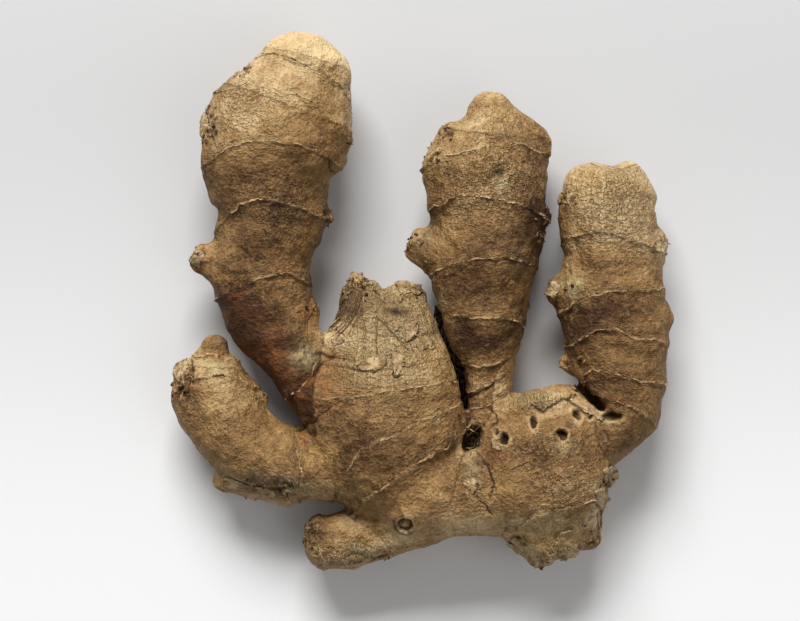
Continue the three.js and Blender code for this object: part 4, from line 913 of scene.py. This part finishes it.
def strand(path, radii):
    """Adds a thin strand along a path, with a radius at each of its points and a shade of its own."""
    first = len(corners)
    shades.extend([random.uniform(0, 0.45)] * (SIDES * len(path)))
    for number, (place, radius) in enumerate(zip(path, radii)):
        ahead = path[min(number + 1, len(path) - 1)] - path[max(number - 1, 0)]
        side = ahead.cross(Vector((0.3, 0.2, 1))).normalized()
        up = side.cross(ahead).normalized()
        angles = (math.tau * k / SIDES for k in range(SIDES))
        corners.extend(place + (side * math.cos(a) + up * math.sin(a)) * radius for a in angles)
    for at in range(first, len(corners) - SIDES, SIDES):
        faces.extend((at + k, at + (k + 1) % SIDES, at + SIDES + (k + 1) % SIDES, at + SIDES + k)
                     for k in range(SIDES))
    faces.append(tuple(first + k for k in reversed(range(SIDES))))
    faces.append(tuple(len(corners) - SIDES + k for k in range(SIDES)))


def wandering(start, way, steps, shortest, longest, turn, even=True):
    """A path of random steps, whose way turns a little after each and stays as long if it is even."""
    path = [start]
    for _ in range(steps):
        path.append(path[-1] + way * random.uniform(shortest, longest))
        way = way + scattered(turn)
        if even:
            way.normalize()
    return path


def reshade(path, shade):
    """Gives the strand that was added last another shade, from 0 for black to 1 for pale."""
    shades[-SIDES * len(path):] = [shade] * (SIDES * len(path))


# strands down the stub, which fan out to its left
for _ in range(STRANDS):
    share = random.random()
    x, y = -15.2 - 4.2 * share, random.uniform(-1, 3.2)
    way = Vector((-0.1 - 0.3 * share, -1)).normalized()
    path = []
    for _ in range(random.randint(9, 26)):
        foot, normal, _ = on_skin(x, y)
        if foot is None or foot.z < STUB_FOOT or (path and (foot - path[-1]).length > LONGEST_STEP):
            break
        path.append(foot + normal * random.uniform(-0.04, 0.12))
        way = (way + Vector((-0.035 - 0.02 * share, random.uniform(-0.04, 0.04)))).normalized()
        x += way.x * STRIDE
        y += way.y * STRIDE
    if len(path) > 3:
        strand(path, [random.uniform(0.08, 0.17) * (1 - 0.7 * k / len(path)) for k in range(len(path))])

# fibres on the centre, each of a few threads
for line in FIBRES:
    for _ in range(THREADS):
        aside = in_frame((random.uniform(-0.35, 0.35), random.uniform(-0.3, 0.3)))
        path = []
        for start, end in zip(line, line[1:]):
            for step in range(7):
                place = Vector(start).lerp(Vector(end), step / 7) + aside
                place += scattered(0.07, 2)
                foot, normal, _ = on_skin(*place)
                path.append(foot + normal * 0.1)
        strand(path, [0.12 * (1 - 0.6 * k / len(path)) for k in range(len(path))])
        reshade(path, random.uniform(0.2, 0.6))

# frayed bits on top of the stub
for _ in range(FRAYED_BITS):
    place = Vector((STUB_TOP[0] + random.uniform(-2.6, 2.2), STUB_TOP[1] + random.uniform(-1.6, 0.8)))
    foot, normal, _ = on_skin(*place)
    if foot is not None:
        way = (normal + Vector((random.uniform(-0.6, 0.2), random.uniform(0, 1), 0))).normalized()
        path = wandering(foot - normal * 0.3, way, 4, 0.12, 0.34, 0.4)
        strand(path, [0.2, 0.19, 0.16, 0.12, 0.08])
        reshade(path, random.uniform(0, 0.2))

# dead rootlets in the big hole, one in seven of them pale
for number in range(HOLE_ROOTLETS):
    place = Vector((HOLE[0] + random.uniform(-2.1, 2.1), HOLE[1] + random.uniform(-2.8, 3)))
    foot, normal, _ = on_skin(*place)
    way = Vector((random.uniform(-1, 1), random.uniform(-1, 1), random.uniform(0.3, 1.2))).normalized()
    path = wandering(foot - normal * 0.4, way, 6, 0.3, 0.6, 0.5)
    strand(path, [0.28, 0.24, 0.2, 0.17, 0.14, 0.1, 0.05])
    reshade(path, 1.0 if number % 7 == 0 else random.uniform(0, 0.12))

# black strands along the bottom of the cleft: painted shade
for start, end in zip(CLEFT, CLEFT[1:]):
    start, end = in_frame(start), in_frame(end)
    for _ in range(round((end - start).length * CLEFT_SHADE_STRANDS)):
        place = start.lerp(end, random.random()) + Vector((random.uniform(-CLEFT_WIDE, CLEFT_WIDE), 0))
        way = Vector((*(end - start).normalized(), 0)) + scattered(0.7)
        low = Vector((*place, random.uniform(CLEFT_LOW, CLEFT_HIGH)))
        path = wandering(low, way, 4, 0.3, 0.6, 0.3, even=False)
        strand(path, [0.3, 0.34, 0.32, 0.25, 0.1])
        reshade(path, 0.0)

paint = Paint("dry_strands")
fine = paint.cloud(2000, 2)
colour = paint.mixed(paint.attribute("shade") + (fine - 0.5) * 0.6, (0.035, 0.015, 0.006), (0.42, 0.27, 0.12))
paint.finish(colour, 0.7 + fine * 0.2, fine, 0.0002)
strands = new_piece("strands", corners, faces, paint.material)
strands.data.attributes.new("shade", "FLOAT", "POINT").data.foreach_set("value", shades)

# -------- the crumbs of the broken shoots
# Where a shoot broke off, its dry crust has frayed into thin dark chips and small hard splinters, which
# stand at all angles.


def on_crust(x, y, radius, lowest):
    """A random place on the skin near a crust, its normal, and a random way across it."""
    turn, out = random.uniform(0, math.tau), radius * math.sqrt(random.random()) * 0.9
    x, y = x + SHIFT[0] + out * math.cos(turn), y + SHIFT[1] + out * math.sin(turn)
    foot, normal, _, _ = skin_tree.find_nearest(Vector((x, y, random.uniform(lowest, 24))))
    return foot, normal, scattered(1).cross(normal).normalized()


SPLINTER = ((0, 1, 3), (1, 2, 3), (2, 0, 3), (0, 2, 1))  # the faces of one, by its corners
corners, faces = [], []
for x, y, radius in CRUSTS:
    for _ in range(int(4 + radius * 5)):
        foot, normal, side = on_crust(x, y, radius, 7)
        lean = random.uniform(0.6, 1.5)
        rise = normal * math.cos(lean) + side.cross(normal) * math.sin(lean)
        size = random.uniform(0.25, 0.85)
        first, count = len(corners), random.randint(5, 8)
        for number in range(count):
            a, reach = math.tau * number / count, size * random.uniform(0.45, 1)
            corners.append(foot + side * reach * math.cos(a) + rise * (reach * math.sin(a) + size * 0.35)
                           + normal * random.uniform(-0.12, 0.12))
        faces.append(tuple(range(first, first + count)))
    for _ in range(int(3 + radius * 2)):
        foot, normal, side = on_crust(x, y, radius, 9)
        size = random.uniform(0.3, 0.95)
        first, root = len(corners), foot - normal * 0.3
        corners += [root - side * size * 0.5, root + side * size * 0.5,
                    root + side.cross(normal) * size * 0.6,
                    foot + normal * size * random.uniform(0.2, 0.8) + side * random.uniform(-0.4, 0.4)]
        faces += [(first + a, first + b, first + c) for a, b, c in SPLINTER]

paint = Paint("frayed_crust")
patches, fine = paint.cloud(600, 3), paint.cloud(2000, 2)
colour = paint.mixed(patches.step(0.38, 0.62), (0.025, 0.011, 0.004), (0.3, 0.175, 0.07))
paint.finish(colour, 0.75 + fine * 0.15, fine, 0.0002)
new_piece("crumbs", corners, faces, paint.material, thick=0.00012)

# -------- the table, the light and the camera
# The root lies on a plain pale surface, painted darker far off and paler near as painted light, and is
# seen from straight above, in broad soft light that comes from beyond the tips of the fingers.

TABLE_FAR, TABLE_NEAR = (0.57, 0.57, 0.57), (0.85, 0.85, 0.85)
CAMERA_HEIGHT = 0.5556 + LIMB_HEIGHT / 1000

bpy.ops.mesh.primitive_plane_add(size=3, location=(0, 0, 0))
table = bpy.context.object
table.name = "table"
paint = Paint("table_paint")
# painted light: the table is painted darker far off and paler near
painted_light_fade = paint.forward().step(0.06, -0.09)
paint.surface.inputs["Roughness"].default_value = 0.9
paint.tree.links.new(paint.mixed(painted_light_fade, TABLE_FAR, TABLE_NEAR), paint.surface.inputs["Base Color"])
table.data.materials.append(paint.material)


def soft_light(name, place, wide, tall, energy):
    """An area light that shines on the middle of the table."""
    lamp = bpy.data.lights.new(name, "AREA")
    lamp.shape = "RECTANGLE"
    lamp.size, lamp.size_y = wide, tall
    lamp.energy = energy
    light = bpy.data.objects.new(name, lamp)
    light.location = place
    light.rotation_euler = (-Vector(place)).to_track_quat("-Z", "Y").to_euler()
    bpy.context.scene.collection.objects.link(light)


soft_light("window", (-0.2, 1.17, 0.92), 0.9, 0.55, energy=34)
soft_light("wall", (0.9, -0.5, 1.1), 1.2, 1.2, energy=4)

room = bpy.data.worlds.new("room")
room.use_nodes = True
room.node_tree.nodes["Background"].inputs["Color"].default_value = (1, 1, 1, 1)
room.node_tree.nodes["Background"].inputs["Strength"].default_value = 0.225
bpy.context.scene.world = room

camera_data = bpy.data.cameras.new("camera")
camera_data.lens = 100
camera_data.sensor_width = 36
camera = bpy.data.objects.new("camera", camera_data)
camera.location = (-0.00578, -0.00227, CAMERA_HEIGHT)
camera.rotation_euler = (0, 0, 0)
bpy.context.scene.collection.objects.link(camera)
bpy.context.scene.camera = camera
bpy.context.scene.view_settings.view_transform = "Standard"
